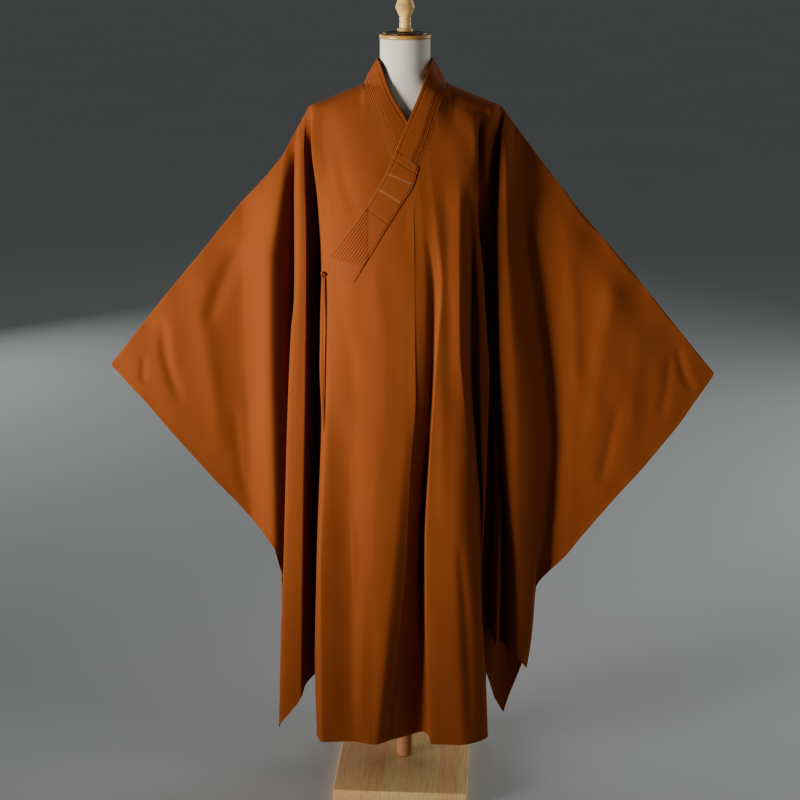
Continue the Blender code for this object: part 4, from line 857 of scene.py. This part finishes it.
def quilted_collar():
    """The stitched lower band: cross seams, then ribs along it from an upright line, then a plain end.

    The ribs are |sin(pi * rows * share across)| ** 0.5, and a cross seam is a shallow groove with a low lip.
    """
    front_start = NAPE_STATIONS - 1
    first, last = front_start + STRIPS_END + STITCHED_AFTER, float(front_start + len(OVER_COLLAR) - 1)
    places = np.concatenate([np.arange(first, last, STITCHED_STEP / ROW_LENGTH), [last]])
    points, distance, width = band_points(OVER_COLLAR, front_y, 1, places, WHOLE_WIDTH, 0.0,
                                          QUILT_ROWS * RIB_COLUMNS + 1, STITCHED_LIFT)
    share = distance / width
    row = (places - front_start)[:, None]
    ribbed = ramp(-points[..., 0], -QUILT_START - QUILT_TURN, -QUILT_START + QUILT_TURN)
    ribbed *= 1 - ramp(row, QUILT_TO - QUILT_FADE, QUILT_TO + QUILT_FADE)
    ribs = props("sizes").quilt_rise * np.abs(np.sin(math.pi * QUILT_ROWS * share)) ** 0.5
    height = band_relief(distance, width, 0.0, TOPSTITCH_IN) * (1 - ribbed)
    height = height + ribbed * (ribs - RIBS_IN)
    thread = np.zeros_like(height)
    for cross, pale, reach in CROSS_ROWS:
        for rise, place in SEAM_SHAPE:
            height = height + rise * np.exp(-((row - cross) / SEAM_REACH - place) ** 2)
        line = np.exp(-((row - cross) / THREAD_HALF) ** 2)
        thread = thread + pale * line * (share > THREAD_IN) * (share < reach)
    points = raised(points, height)
    made = wall("collar_stitched_band", points, BAND_CLOTH, (0.0, -1.0, 0.0), woven("dyed_twill_band"))
    layer = made.data.attributes.new("thread", "FLOAT", "POINT")
    layer.data.foreach_set("value", np.tile(thread.ravel(), 2).astype(np.float32))
    own_piece(made, "collar_twill", "collar_quilted")


# ---------------------------------------------------------------- tie
def tie_tail():
    """A flat folded strip: its middle hangs down the overlap's edge with a slow sway and a slight twist.

    It is about 6 mm wide at the knot and 7.4 mm from 50 mm below it.  Across it the strip bows out by
    0.9 mm times 1 - (2 s - 1) ** 2, and its lower end is cut square.
    """
    rows, across_count = 140, 9
    knots = np.array(TIE_PATH[::-1])
    z = np.linspace(knots[-1, 0], knots[0, 0], rows)
    x, y = smooth_through(knots[:, 0], knots[:, 1:], z).T
    fall = (knots[-1, 0] - z)[:, None]
    turn = TIE_TURN + 0.25 * np.sin(fall * 19.0)
    across = np.concatenate([np.cos(turn), -np.sin(turn), np.zeros_like(turn)], axis=1)
    outward = np.concatenate([-np.sin(turn), -np.cos(turn), np.zeros_like(turn)], axis=1)
    s = np.linspace(0.0, 1.0, across_count)
    half = 0.5 * (0.0060 + 0.0014 * ramp(fall, 0.0, 0.05) + 0.0008 * np.sin(fall * 41.0))
    middle = np.stack([x, y, z], -1) + across * 0.0008 * np.sin(fall * 26.0)
    points = (middle[:, None] + across[:, None] * (half * (2 * s - 1))[..., None]
              + outward[:, None] * (0.0009 * (1 - (2 * s - 1) ** 2))[None, :, None])
    return points.transpose(1, 0, 2)


def knot_tube():
    """A strip pulled into a small knot: a thick flat tube along the trefoil
    (sin t + 2 sin 2t, -sin 3t, cos t - 2 cos 2t), drawn in to the knot's size."""
    around, ring, half_width, flatness = 96, 14, 1.50, 0.8
    t = np.linspace(0.0, 2 * math.pi, around, endpoint=False)
    path = np.stack([np.sin(t) + 2 * np.sin(2 * t), -np.sin(3 * t), np.cos(t) - 2 * np.cos(2 * t)], -1)
    tangent = np.roll(path, -1, axis=0) - np.roll(path, 1, axis=0)
    tangent /= np.linalg.norm(tangent, axis=1)[:, None]
    side_way = np.cross(tangent, (0.0, 1.0, 0.0))
    side_way /= np.linalg.norm(side_way, axis=1)[:, None]
    up = np.cross(side_way, tangent)
    a = np.linspace(0.0, 2 * math.pi, ring, endpoint=False)
    tube = path[:, None] + half_width * (np.cos(a)[None, :, None] * side_way[:, None]
                                         + flatness * np.sin(a)[None, :, None] * up[:, None])
    scale = np.array(KNOT_SIZE) / 2 / np.abs(tube).reshape(-1, 3).max(axis=0)
    return tube * scale + np.array(KNOT_CENTRE)


def closed_quads(rings, around, wrap_rings=True):
    """Quads of a grid that closes on itself around each ring, and from the last ring to the first."""
    index = np.arange(rings * around).reshape(rings, around)
    index = np.concatenate([index, index[:, :1]], axis=1)
    if wrap_rings:
        index = np.concatenate([index, index[:1]], axis=0)
    return grid_quads(index)


def outward_faces(points, faces):
    """Turns every face round if the closed mesh's signed volume is below zero."""
    a, b, c = (points[faces[:, k]] for k in (0, 1, 2))
    d = points[faces[:, -1]]
    volume = np.sum(np.cross(a, b) * c) + np.sum(np.cross(a, c) * d)
    return faces[:, ::-1] if volume < 0 else faces


# ---------------------------------------------------------------- dress form and wood
def form_points():
    """The padded form: |x / half| ** power + (y / depth) ** 2 = 1 at each height, through the section table."""
    table = np.array(FORM_SECTIONS[::-1])
    z = np.concatenate([np.linspace(table[0, 0], FORM_CHEST, FORM_RINGS),
                        np.linspace(FORM_CHEST, table[-1, 0], FORM_RINGS)[1:]])
    half, front, back, power = smooth_through(table[:, 0], table[:, 1:], z).T
    a = np.linspace(0.0, 2 * math.pi, FORM_AROUND, endpoint=False)
    cos, sin = np.cos(a), np.sin(a)
    x = half[:, None] * np.sign(cos) * np.abs(cos) ** (2.0 / power[:, None])
    y = np.where(sin < 0, front[:, None], back[:, None]) * sin
    return np.stack([x, y, np.broadcast_to(z[:, None], x.shape)], -1)


def turned_points(profile, around, fine=1):
    """A profile (radius, height) turned about the pole: x = r cos a, y = r sin a."""
    profile = np.array(profile)
    if fine > 1:
        run = np.concatenate([[0.0], np.cumsum(np.linalg.norm(np.diff(profile, axis=0), axis=1))])
        profile = smooth_through(run, profile, np.linspace(0.0, run[-1], fine))
    a = np.linspace(0.0, 2 * math.pi, around, endpoint=False)
    radius, z = profile[:, :1], profile[:, 1:]
    return np.stack([radius * np.cos(a), radius * np.sin(a), np.broadcast_to(z, (len(profile), around))], -1)


def closed_mesh(name, points, surface_material):
    """Rings that close on themselves both ways."""
    flat = points.reshape(-1, 3)
    faces = outward_faces(flat, closed_quads(*points.shape[:2]))
    return finished_mesh(name, flat, faces.tolist(), surface_material)


def capped(name, points, surface_material):
    """A stack of closed rings made a solid: quads between the rings, and a flat cap on each end."""
    rings, around = points.shape[:2]
    flat = points.reshape(-1, 3)
    faces = outward_faces(flat, closed_quads(rings, around, wrap_rings=False))
    up = points[-1, 0, 2] > points[0, 0, 2]
    low, high = list(range(around)), [(rings - 1) * around + k for k in range(around)]
    ends = [low[::-1], high] if up else [low, high[::-1]]
    return finished_mesh(name, flat, faces.tolist() + ends, surface_material, sharp=40.0)


# Turned wood: (radius, height)
CAP_TURNING = ((0.0012, 1.5938), (0.0425, 1.5938), (0.0433, 1.5948), (0.0433, 1.5972), (0.0424, 1.5984),
               (0.0420, 1.5996), (0.0430, 1.6012), (0.0433, 1.6028), (0.0428, 1.6044), (0.0414, 1.6053),
               (0.0398, 1.6050), (0.0388, 1.6038), (0.0380, 1.6036), (0.0360, 1.6042), (0.0200, 1.6050),
               (0.0012, 1.6053))
RIM_TURNING = ((0.0440, 1.5940), (0.0490, 1.5938), (0.0500, 1.5944), (0.0503, 1.5956), (0.0503, 1.6000),
               (0.0499, 1.6012), (0.0488, 1.6018), (0.0440, 1.6018))
FINIAL_TURNING = ((0.0010, 1.6057), (0.0140, 1.6057), (0.0149, 1.6068), (0.0151, 1.6085), (0.0150, 1.6106),
                  (0.0143, 1.6124), (0.0122, 1.6134), (0.0108, 1.6140), (0.0106, 1.6152), (0.0112, 1.6165),
                  (0.0113, 1.6205), (0.0112, 1.6240), (0.0104, 1.6250), (0.0102, 1.6262), (0.0110, 1.6272),
                  (0.0113, 1.6290), (0.0112, 1.6306), (0.0104, 1.6318), (0.0104, 1.6332), (0.0118, 1.6360),
                  (0.0140, 1.6410), (0.0164, 1.6460), (0.0184, 1.6500), (0.0189, 1.6520), (0.0187, 1.6540),
                  (0.0174, 1.6580), (0.0152, 1.6640), (0.0126, 1.6720), (0.0100, 1.6800), (0.0084, 1.6860),
                  (0.0079, 1.6905), (0.0074, 1.6940), (0.0060, 1.6966), (0.0036, 1.6977), (0.0010, 1.6980))


def block_points(size, turn, bevel):
    """A block on the floor: square rings whose corners and rims draw in by a quarter circle."""
    steps = np.linspace(0.0, math.pi / 2, BLOCK_RIMS)
    insets = bevel * (1 - np.sin(steps))
    heights = bevel * (1 - np.cos(steps))
    width, length, height = size
    z = np.concatenate([heights, height - heights[::-1]])
    inset = np.concatenate([insets, insets[::-1]])
    corner = []
    for k, (sx, sy) in enumerate(((1, 1), (-1, 1), (-1, -1), (1, -1))):
        a = k * math.pi / 2 + np.linspace(0.0, math.pi / 2, BLOCK_CORNER)
        corner.append(np.stack([sx * (width / 2 - bevel) + bevel * np.cos(a),
                                sy * (length / 2 - bevel) + bevel * np.sin(a)], -1))
    ring = np.concatenate(corner)
    away = np.stack([np.sign(ring[:, 0]), np.sign(ring[:, 1])], -1)
    rings = ring[None] - away[None] * inset[:, None, None]
    cos, sin = math.cos(turn), math.sin(turn)
    x, y = rings[..., 0] * cos - rings[..., 1] * sin, rings[..., 0] * sin + rings[..., 1] * cos
    return np.stack([x, y, np.broadcast_to(z[:, None], x.shape)], -1)


# ---------------------------------------------------------------- materials
def add_node(tree, kind, settings=None, values=None, links=None):
    """Adds a node, sets its properties and unlinked sockets, and links sockets from outputs."""
    made = tree.nodes.new(kind)
    for key, value in (settings or {}).items():
        setattr(made, key, value)
    for key, value in (values or {}).items():
        made.inputs[key].default_value = value
    for key, output in (links or {}).items():
        tree.links.new(output, made.inputs[key])
    return made


def new_material(name, roughness, coat=0.0, relief=None):
    """A new material: itself, its node tree, its shader, and texture coordinates.

    A relief is a pair of a bump's strength and depth, and its node comes last.
    """
    made = bpy.data.materials.new(name)
    made.use_nodes = True
    tree = made.node_tree
    shader = tree.nodes["Principled BSDF"]
    shader.inputs["Roughness"].default_value = roughness
    shader.inputs["Coat Weight"].default_value = coat
    coords = add_node(tree, "ShaderNodeTexCoord")
    if relief is None:
        return made, tree, shader, coords
    bump = add_node(tree, "ShaderNodeBump", None, {"Strength": relief[0], "Distance": relief[1]})
    tree.links.new(bump.outputs["Normal"], shader.inputs["Normal"])
    return made, tree, shader, coords, bump


def noise(tree, place, scale, detail, roughness=0.5):
    """A noise texture's factor at a place given by an output."""
    values = {"Scale": scale, "Detail": detail, "Roughness": roughness}
    return add_node(tree, "ShaderNodeTexNoise", None, values, {"Vector": place}).outputs["Fac"]


def mapped(tree, place, **values):
    """A place turned or scaled by a mapping."""
    return add_node(tree, "ShaderNodeMapping", None, values, {"Vector": place}).outputs["Vector"]


def blend_stops(tree, factor, stops):
    """A colour ramp over a factor: stops are (place, colour)."""
    ramp_node = add_node(tree, "ShaderNodeValToRGB", links={"Fac": factor})
    elements = ramp_node.color_ramp.elements
    while len(elements) < len(stops):
        elements.new(0.5)
    for element, (place, colour) in zip(elements, stops):
        element.position, element.color = place, colour
    return ramp_node.outputs["Color"]


def tinted(colour, factor):
    """A colour made lighter or darker."""
    return tuple(min(c * factor, 1.0) for c in colour[:3]) + (1.0,)


THREAD_COLOUR = "#C99672"       # pale sewing thread
WAVE_BANDS = 20.0               # a wave texture's angle grows by this times its scale over each metre
# Cloths: colour, thread pitch, relief, roughness, sheen, mottle of the dye, turn of the threads in degrees
CLOTHS = {
    # Polyester-cotton twill, piece-dyed and pressed: fine diagonal ridges, almost even in colour
    "dyed_twill": ("twill", 0.0014, 0.0002, 0.88, 0.02, 0.05, 45.0),
    # The same twill doubled and topstitched: a touch smoother from pressing
    "dyed_twill_band": ("twill_band", 0.0014, 0.0002, 0.76, 0.02, 0.04, 45.0),
    # Unbleached linen stretched over a padded form: plain weave with slubs, dry and matt
    "form_linen": ("linen", 0.0018, 0.0003, 0.88, 0.05, 0.03, 0.0),
}


def woven(name):
    """Woven cloth: thread ridges on the cloth map over a soft mottle of the dye, and any pale sewing thread.

    The ridges are bands across the map, one each thread pitch, raised by a bump of the given depth.
    """
    if name in bpy.data.materials:
        return bpy.data.materials[name]
    key, pitch, depth, roughness, sheen, mottle, turn = CLOTHS[name]
    colour = tuple(getattr(props("colours"), key))
    made, tree, shader, coords, bump = new_material(name, roughness, relief=(0.35, depth))
    turned = mapped(tree, coords.outputs["UV"], Rotation=(0.0, 0.0, math.radians(turn)))
    ridges = add_node(tree, "ShaderNodeTexWave", {"wave_type": "BANDS", "bands_direction": "X"},
                      {"Scale": 1.0 / (pitch * WAVE_BANDS) * 2 * math.pi, "Distortion": 0.6, "Detail": 1.0,
                       "Detail Scale": 2.0}, {"Vector": turned}).outputs["Fac"]
    slubs = noise(tree, coords.outputs["Object"], 420.0, 2.0, 0.6)
    height = add_node(tree, "ShaderNodeMath", {"operation": "ADD"}, links={0: ridges, 1: slubs})
    tree.links.new(height.outputs[0], bump.inputs["Height"])
    dye = noise(tree, coords.outputs["Object"], 5.0, 4.0, 0.55)
    dyed = blend_stops(tree, dye, ((0.30, tinted(colour, 1 - mottle)), (0.55, colour),
                                   (0.80, tinted(colour, 1 + mottle))))
    mask = add_node(tree, "ShaderNodeMath", {"operation": "MULTIPLY"}, {1: 0.30}, {0: ridges})
    fleck = add_node(tree, "ShaderNodeMix", {"data_type": "RGBA", "blend_type": "MULTIPLY"},
                     {7: (0.78, 0.74, 0.70, 1.0)}, {0: mask.outputs[0], 6: dyed})
    thread = add_node(tree, "ShaderNodeAttribute", {"attribute_name": "thread"})
    sewn = add_node(tree, "ShaderNodeMix", {"data_type": "RGBA"}, {7: linear(THREAD_COLOUR)},
                    {0: thread.outputs["Fac"], 6: fleck.outputs[2]})
    tree.links.new(sewn.outputs[2], shader.inputs["Base Color"])
    shader.inputs["Sheen Weight"].default_value = sheen
    shader.inputs["Sheen Roughness"].default_value = 0.45
    shader.inputs["Specular IOR Level"].default_value = 0.16
    return made


# Turned woods: colour and its tint, colour of the dark rings, ring scale, stretch along the axis,
# roughness and coat
WOODS = {
    # Turned walnut, lacquered: dark brown with close darker rings
    "lacquered_walnut": ("walnut", 1.0, "#2A170C", 9.0, 0.3, 0.34, 0.35),
    # Turned beech ring, satin-lacquered: close, even grain; its pale honey colour is painted highlight along
    # the walnut cap's rounded edge and side
    "stained_beech": ("rim", 1.0, "#8E6630", 16.0, 0.2, 0.45, 0.15),
    # Turned maple, sanded and waxed: pale, close grain along the axis
    "waxed_maple": ("maple", 1.0, "#B98F5C", 14.0, 0.12, 0.42, 0.12),
    # Turned pine, clear-lacquered, with long fine grain up the pole; its pale colour is darkened to 0.55 as
    # painted shade, the robe's shadow over the pole
    "lacquered_pine": ("pine", 0.55, "#8E6A40", 10.0, 0.08, 0.45, 0.10),
}


def turned_wood(name):
    """Turned wood: growth rings as distorted bands along the grain, with fine pores running the same way."""
    key, tint, dark, ring_scale, stretch, roughness, coat = WOODS[name]
    colour = tinted(getattr(props("colours"), key), tint)
    made, tree, shader, coords, bump = new_material(name, roughness, coat, (0.25, 0.0003))
    along = mapped(tree, coords.outputs["Object"], Scale=(1.0, 1.0, stretch))
    rings = add_node(tree, "ShaderNodeTexWave", {"wave_type": "RINGS", "rings_direction": "Z"},
                     {"Scale": ring_scale, "Distortion": 3.0, "Detail": 3.0, "Detail Scale": 1.4},
                     {"Vector": along})
    pores = noise(tree, along, 60.0, 6.0, 0.7)
    both = add_node(tree, "ShaderNodeMath", {"operation": "MULTIPLY_ADD"}, {1: 0.55},
                    {0: rings.outputs["Fac"], 2: pores})
    grain = blend_stops(tree, both.outputs[0], ((0.35, linear(dark)), (0.75, colour),
                                                (1.0, tinted(colour, 1.1))))
    tree.links.new(grain, shader.inputs["Base Color"])
    tree.links.new(pores, bump.inputs["Height"])
    shader.inputs["Coat Roughness"].default_value = 0.25
    return made


def board_material():
    """Finger-jointed rubberwood board, planed and clear-lacquered: staves about 40 mm wide, each of its own
    tone, with fine grain along them.  Both tones also lift the pale wood colour as painted light, for the
    weak lamplight on the base."""
    made, tree, shader, coords = new_material("finger_jointed_rubberwood", 0.42, 0.12)
    pale = props("colours").pine
    along = mapped(tree, coords.outputs["Object"], Rotation=(0.0, 0.0, math.radians(90) - STAND_TURN))
    # Color1 and Color2 are the staves' own two tones, both lifted over the pale wood as painted light.
    staves = add_node(tree, "ShaderNodeTexBrick", {"offset": 0.37},
                      {"Color1": tinted(pale, 1.75), "Color2": tinted(pale, 1.32), "Mortar": tinted(pale, 0.95),
                       "Scale": 1.0, "Mortar Size": 0.0004, "Mortar Smooth": 0.5, "Brick Width": 0.17,
                       "Row Height": 0.041}, {"Vector": along})
    grain = noise(tree, mapped(tree, along, Scale=(0.07, 1.0, 0.3)), 260.0, 5.0, 0.65)
    lines = blend_stops(tree, grain, ((0.35, (0.82, 0.74, 0.64, 1.0)), (0.62, (1.0, 1.0, 1.0, 1.0))))
    tone = add_node(tree, "ShaderNodeMix", {"data_type": "RGBA", "blend_type": "MULTIPLY"}, {0: 0.75},
                    {6: staves.outputs["Color"], 7: lines})
    tree.links.new(tone.outputs[2], shader.inputs["Base Color"])
    return made


def floor_material():
    """Matt painted studio floor: pale, nearly even, with a faint roller texture."""
    made, tree, shader, coords = new_material("studio_floor", 0.85)
    pale = tuple(props("colours").floor)
    cloud = noise(tree, coords.outputs["Object"], 0.8, 3.0)
    paint = blend_stops(tree, cloud, ((0.3, tinted(pale, 0.98)), (0.7, pale)))
    tree.links.new(paint, shader.inputs["Base Color"])
    return made


# ---------------------------------------------------------------- settings
COLOUR = {"size": 4, "min": 0.0, "max": 1.0, "subtype": "COLOR"}


class RobeSizes(PropertyGroup):
    """Sizes of the cloth and of its needlework."""
    cloth: FloatProperty(name="Cloth thickness", description="Wall of the robe's panels",
                         default=0.0011, min=0.0005, max=0.003, unit="LENGTH")
    hem_width: FloatProperty(name="Hem width", description="Turned-up hem of the skirt and cuffs",
                             default=0.013, min=0.005, max=0.04, unit="LENGTH")
    quilt_rise: FloatProperty(name="Rib height", description="Height of the stitched collar's ribs",
                              default=0.0013, min=0.0, max=0.004, unit="LENGTH")
    rumple: FloatProperty(name="Unevenness", description="Faint unevenness of the hanging cloth",
                          default=0.0014, min=0.0, max=0.01, unit="LENGTH")
    crease: FloatProperty(name="Crease strength", description="Multiplies the height of every soft crease",
                          default=1.0, min=0.0, max=3.0, subtype="FACTOR")
    column_turns: IntProperty(name="Turning steps", description="Sides of each turned piece",
                              default=96, min=24, max=256)


class RobeColours(PropertyGroup):
    """Colours of the cloths and woods."""
    twill: FloatVectorProperty(name="Robe twill", description="Rust-brown dye of the robe",
                               default=linear("#91502A"), **COLOUR)
    twill_band: FloatVectorProperty(name="Collar twill", description="The same dye on the doubled collar",
                                    default=linear("#8F4E28"), **COLOUR)
    linen: FloatVectorProperty(name="Form linen", description="Cover of the dress form",
                               default=linear("#DCD5C4"), **COLOUR)
    walnut: FloatVectorProperty(name="Walnut", description="Cap on the neck",
                                default=linear("#4E2F17"), **COLOUR)
    # The rim's pale colour is painted highlight along the cap's rounded edge and side.
    rim: FloatVectorProperty(name="Neck rim", description="Stained rim round the top of the neck",
                             default=linear("#B98C4C"), **COLOUR)
    maple: FloatVectorProperty(name="Maple", description="Finial",
                               default=linear("#E6BE7C"), **COLOUR)
    # The pole takes this colour darkened as painted shade.
    pine: FloatVectorProperty(name="Pale wood", description="Pole and base",
                              default=linear("#F6B080"), **COLOUR)
    floor: FloatVectorProperty(name="Floor", description="Pale studio floor",
                               default=linear("#CACDCC"), **COLOUR)


class RobeLight(PropertyGroup):
    """Strength of the studio's lights."""
    key: FloatProperty(name="Key", description="Softbox at the front, on the robe's right", default=16.2,
                       min=0.0, unit="POWER")
    spread: FloatProperty(name="Key spread", description="How widely the key fans out", default=0.80,
                          min=0.2, max=3.14, subtype="ANGLE")
    fill: FloatProperty(name="Fill", description="Wide softbox on the robe's left", default=10.0, min=0.0,
                        unit="POWER")
    world: FloatProperty(name="Surroundings", description="Even light from all round", default=0.13, min=0.0,
                         subtype="FACTOR")


SETTINGS = {"sizes": RobeSizes, "colours": RobeColours, "light": RobeLight}


def props(group):
    return getattr(bpy.context.scene, f"monk_robe_{group}")


class MONKROBE_OT_fronts(Operator):
    """Builds the overlap, the left front and the right front"""
    bl_idname = "monkrobe.fronts"
    bl_label = "Fronts"

    def execute(self, context):
        for name, lines, top_edge, seed, turn in (
                ("overlap_front", OVERLAP_LINES, over_top, 11, ()),
                ("left_front", LEFT_FRONT_LINES, over_top, 12, (SHOULDER_ROLL, past_corner)),
                ("right_front", RIGHT_FRONT_LINES, under_top, 13, (SHOULDER_ROLL, past_corner))):
            cloth_panel(name, lines, top_edge, FRONT, BODY_ROWS, seed, *turn)
        return {"FINISHED"}


class MONKROBE_OT_backs(Operator):
    """Builds the left back and the right back"""
    bl_idname = "monkrobe.backs"
    bl_label = "Backs"

    def execute(self, context):
        for name, lines, seed in (("left_back", BACK_LEFT_LINES, 14), ("right_back", BACK_RIGHT_LINES, 15)):
            cloth_panel(name, lines, back_top, BACK, BODY_ROWS, seed, SHOULDER_ROLL, past_corner)
        return {"FINISHED"}


class MONKROBE_OT_sleeves(Operator):
    """Builds the front and back of both wide sleeves"""
    bl_idname = "monkrobe.sleeves"
    bl_label = "Sleeves"

    def execute(self, context):
        right, left = sleeve_top(RIGHT_SLEEVE_TOP), sleeve_top(LEFT_SLEEVE_TOP)
        for name, lines, fold, side, seed, underarm, body in (
                ("right_sleeve_front", RIGHT_SLEEVE_FRONT, right, FRONT, 21, UNDERARM, "right_front"),
                ("right_sleeve_back", RIGHT_SLEEVE_BACK, right, BACK, 22, UNDERARM, "right_back"),
                ("left_sleeve_front", LEFT_SLEEVE_FRONT, left, FRONT, 23, LEFT_UNDERARM, "left_front"),
                ("left_sleeve_back", LEFT_SLEEVE_BACK, left, BACK, 24, UNDERARM, "left_back")):
            made = cloth_panel(name, lines, fold, side, SLEEVE_ROWS, seed, SLEEVE_ROLL, underarm=underarm)
        return {"FINISHED"}


class MONKROBE_OT_collar(Operator):
    """Builds the crossed collar bands, their stepped layers and the stitched lower band"""
    bl_idname = "monkrobe.collar"
    bl_label = "Collar"

    def execute(self, context):
        layered_collar("collar_over", OVER_COLLAR, front_y, 1, NAPE_STATIONS - 1.0 + STRIPS_END)
        layered_collar("collar_under", UNDER_COLLAR, under_y, -1, NAPE_STATIONS - 1.0 + UNDER_STRIPS_END)
        quilted_collar()
        return {"FINISHED"}


class MONKROBE_OT_tie(Operator):
    """Builds the tie's knot and its hanging tail"""
    bl_idname = "monkrobe.tie"
    bl_label = "Tie"

    def execute(self, context):
        tail = wall("tie_tail_cloth", tie_tail(), TAIL_WALL, (-0.4, -1.0, 0.0), woven("dyed_twill_band"))
        own_piece(tail, "robe_twill", "tie_tail")
        knot = closed_mesh("tie_knot_cloth", knot_tube(), woven("dyed_twill_band"))
        own_piece(knot, "robe_twill", "tie_knot")
        return {"FINISHED"}


class MONKROBE_OT_form(Operator):
    """Builds the linen dress form and the pale rim round the top of its neck, whose colour is painted highlight
    on the cap's edge
    """
    bl_idname = "monkrobe.form"
    bl_label = "Dress form"

    def execute(self, context):
        torso = capped("form_linen_cover", form_points(), woven("form_linen"))
        own_piece(torso, "linen", "form_torso")
        # The pale rim is painted highlight along the walnut cap's edge.
        rim = turned_points(RIM_TURNING, props("sizes").column_turns)
        own_piece(closed_mesh("neck_rim_turned", rim, turned_wood("stained_beech")), "walnut")
        return {"FINISHED"}


class MONKROBE_OT_wood(Operator):
    """Turns the cap, finial and pole, and planes the base"""
    bl_idname = "monkrobe.wood"
    bl_label = "Wooden parts"

    def execute(self, context):
        around = props("sizes").column_turns
        radius, low, high = POLE
        inner = radius - POLE_EDGE
        pole = ((inner, low), (radius, low + POLE_EDGE), (radius, high - POLE_EDGE), (inner, high))
        for node, profile, fine, made_of, slot in (
                ("neck_cap", CAP_TURNING, 60, "lacquered_walnut", "walnut"),
                ("finial", FINIAL_TURNING, 150, "waxed_maple", "maple"),
                # The pole's pine is darkened as painted shade, the robe's shadow on it.
                ("stand_pole", pole, 1, "lacquered_pine", "pine")):
            points = turned_points(profile, around, fine)
            own_piece(capped(f"{node}_turned", points, turned_wood(made_of)), slot, node)
        base = block_points(STAND_SIZE, STAND_TURN, STAND_BEVEL)
        own_piece(capped("stand_base_planed", base, board_material()), "pine", "stand_base")
        return {"FINISHED"}


class MONKROBE_OT_stage(Operator):
    """Lays the pale floor and sets the soft lights and the camera"""
    bl_idname = "monkrobe.stage"
    bl_label = "Stage"

    def execute(self, context):
        scene = context.scene
        side = np.linspace(-FLOOR_HALF, FLOOR_HALF, FLOOR_POINTS)
        x, y = np.meshgrid(side, side, indexing="ij")
        points = np.stack([x, y, np.full_like(x, FLOOR_Z)], -1).reshape(-1, 3)
        quads = grid_quads(np.arange(len(points)).reshape(x.shape)).tolist()
        finished_mesh("studio_floor", points, quads, floor_material())
        light = props("light")
        for name, power, share, size, place, aim in LAMPS:
            lamp = bpy.data.lights.new(name, "AREA")
            lamp.energy, lamp.size = share * getattr(light, power), size
            if name == "key":
                lamp.spread = light.spread
            made = bpy.data.objects.new(name, lamp)
            run = np.array(place) - np.array(aim)
            made.location = place
            made.rotation_euler = (math.acos(run[2] / np.linalg.norm(run)), 0.0,
                                   math.atan2(run[1], run[0]) + math.pi / 2)
            scene.collection.objects.link(made)
        world = bpy.data.worlds.new("studio_surroundings")
        world.use_nodes = True
        air = world.node_tree.nodes["Background"]
        air.inputs["Color"].default_value = linear("#E8EAEC")
        air.inputs["Strength"].default_value = light.world
        scene.world = world
        scene.view_settings.look = "AgX - Medium High Contrast"
        camera = bpy.data.objects.new("camera", bpy.data.cameras.new("camera"))
        camera.data.lens, camera.data.sensor_width = CAMERA_LENS, SENSOR
        camera.location, camera.rotation_euler = CAMERA_PLACE, (CAMERA_PITCH, 0.0, 0.0)
        scene.collection.objects.link(camera)
        scene.camera = camera
        return {"FINISHED"}


OPERATORS = (MONKROBE_OT_fronts, MONKROBE_OT_backs, MONKROBE_OT_sleeves, MONKROBE_OT_collar, MONKROBE_OT_tie,
             MONKROBE_OT_form, MONKROBE_OT_wood, MONKROBE_OT_stage)


class MONKROBE_PT_panel(Panel):
    """Lists the robe's settings and its pieces"""
    bl_idname = "MONKROBE_PT_panel"
    bl_label = "Robe"
    bl_space_type = "VIEW_3D"
    bl_region_type = "UI"
    bl_category = "Robe"

    def draw(self, context):
        for group, kind in SETTINGS.items():
            column = self.layout.column(align=True)
            for key in kind.__annotations__:
                column.prop(props(group), key)
        for operator in OPERATORS:
            self.layout.operator(operator.bl_idname)


def register():
    for group, kind in SETTINGS.items():
        bpy.utils.register_class(kind)
        setattr(bpy.types.Scene, f"monk_robe_{group}", PointerProperty(type=kind))
    for kind in OPERATORS + (MONKROBE_PT_panel,):
        bpy.utils.register_class(kind)


def unregister():
    for kind in (MONKROBE_PT_panel,) + OPERATORS[::-1]:
        bpy.utils.unregister_class(kind)
    for group, kind in SETTINGS.items():
        delattr(bpy.types.Scene, f"monk_robe_{group}")
        bpy.utils.unregister_class(kind)


def main():
    """Builds every piece in order."""
    register()
    for operator in OPERATORS:
        group, name = operator.bl_idname.split(".")
        getattr(getattr(bpy.ops, group), name)()


if __name__ == "__main__":
    main()
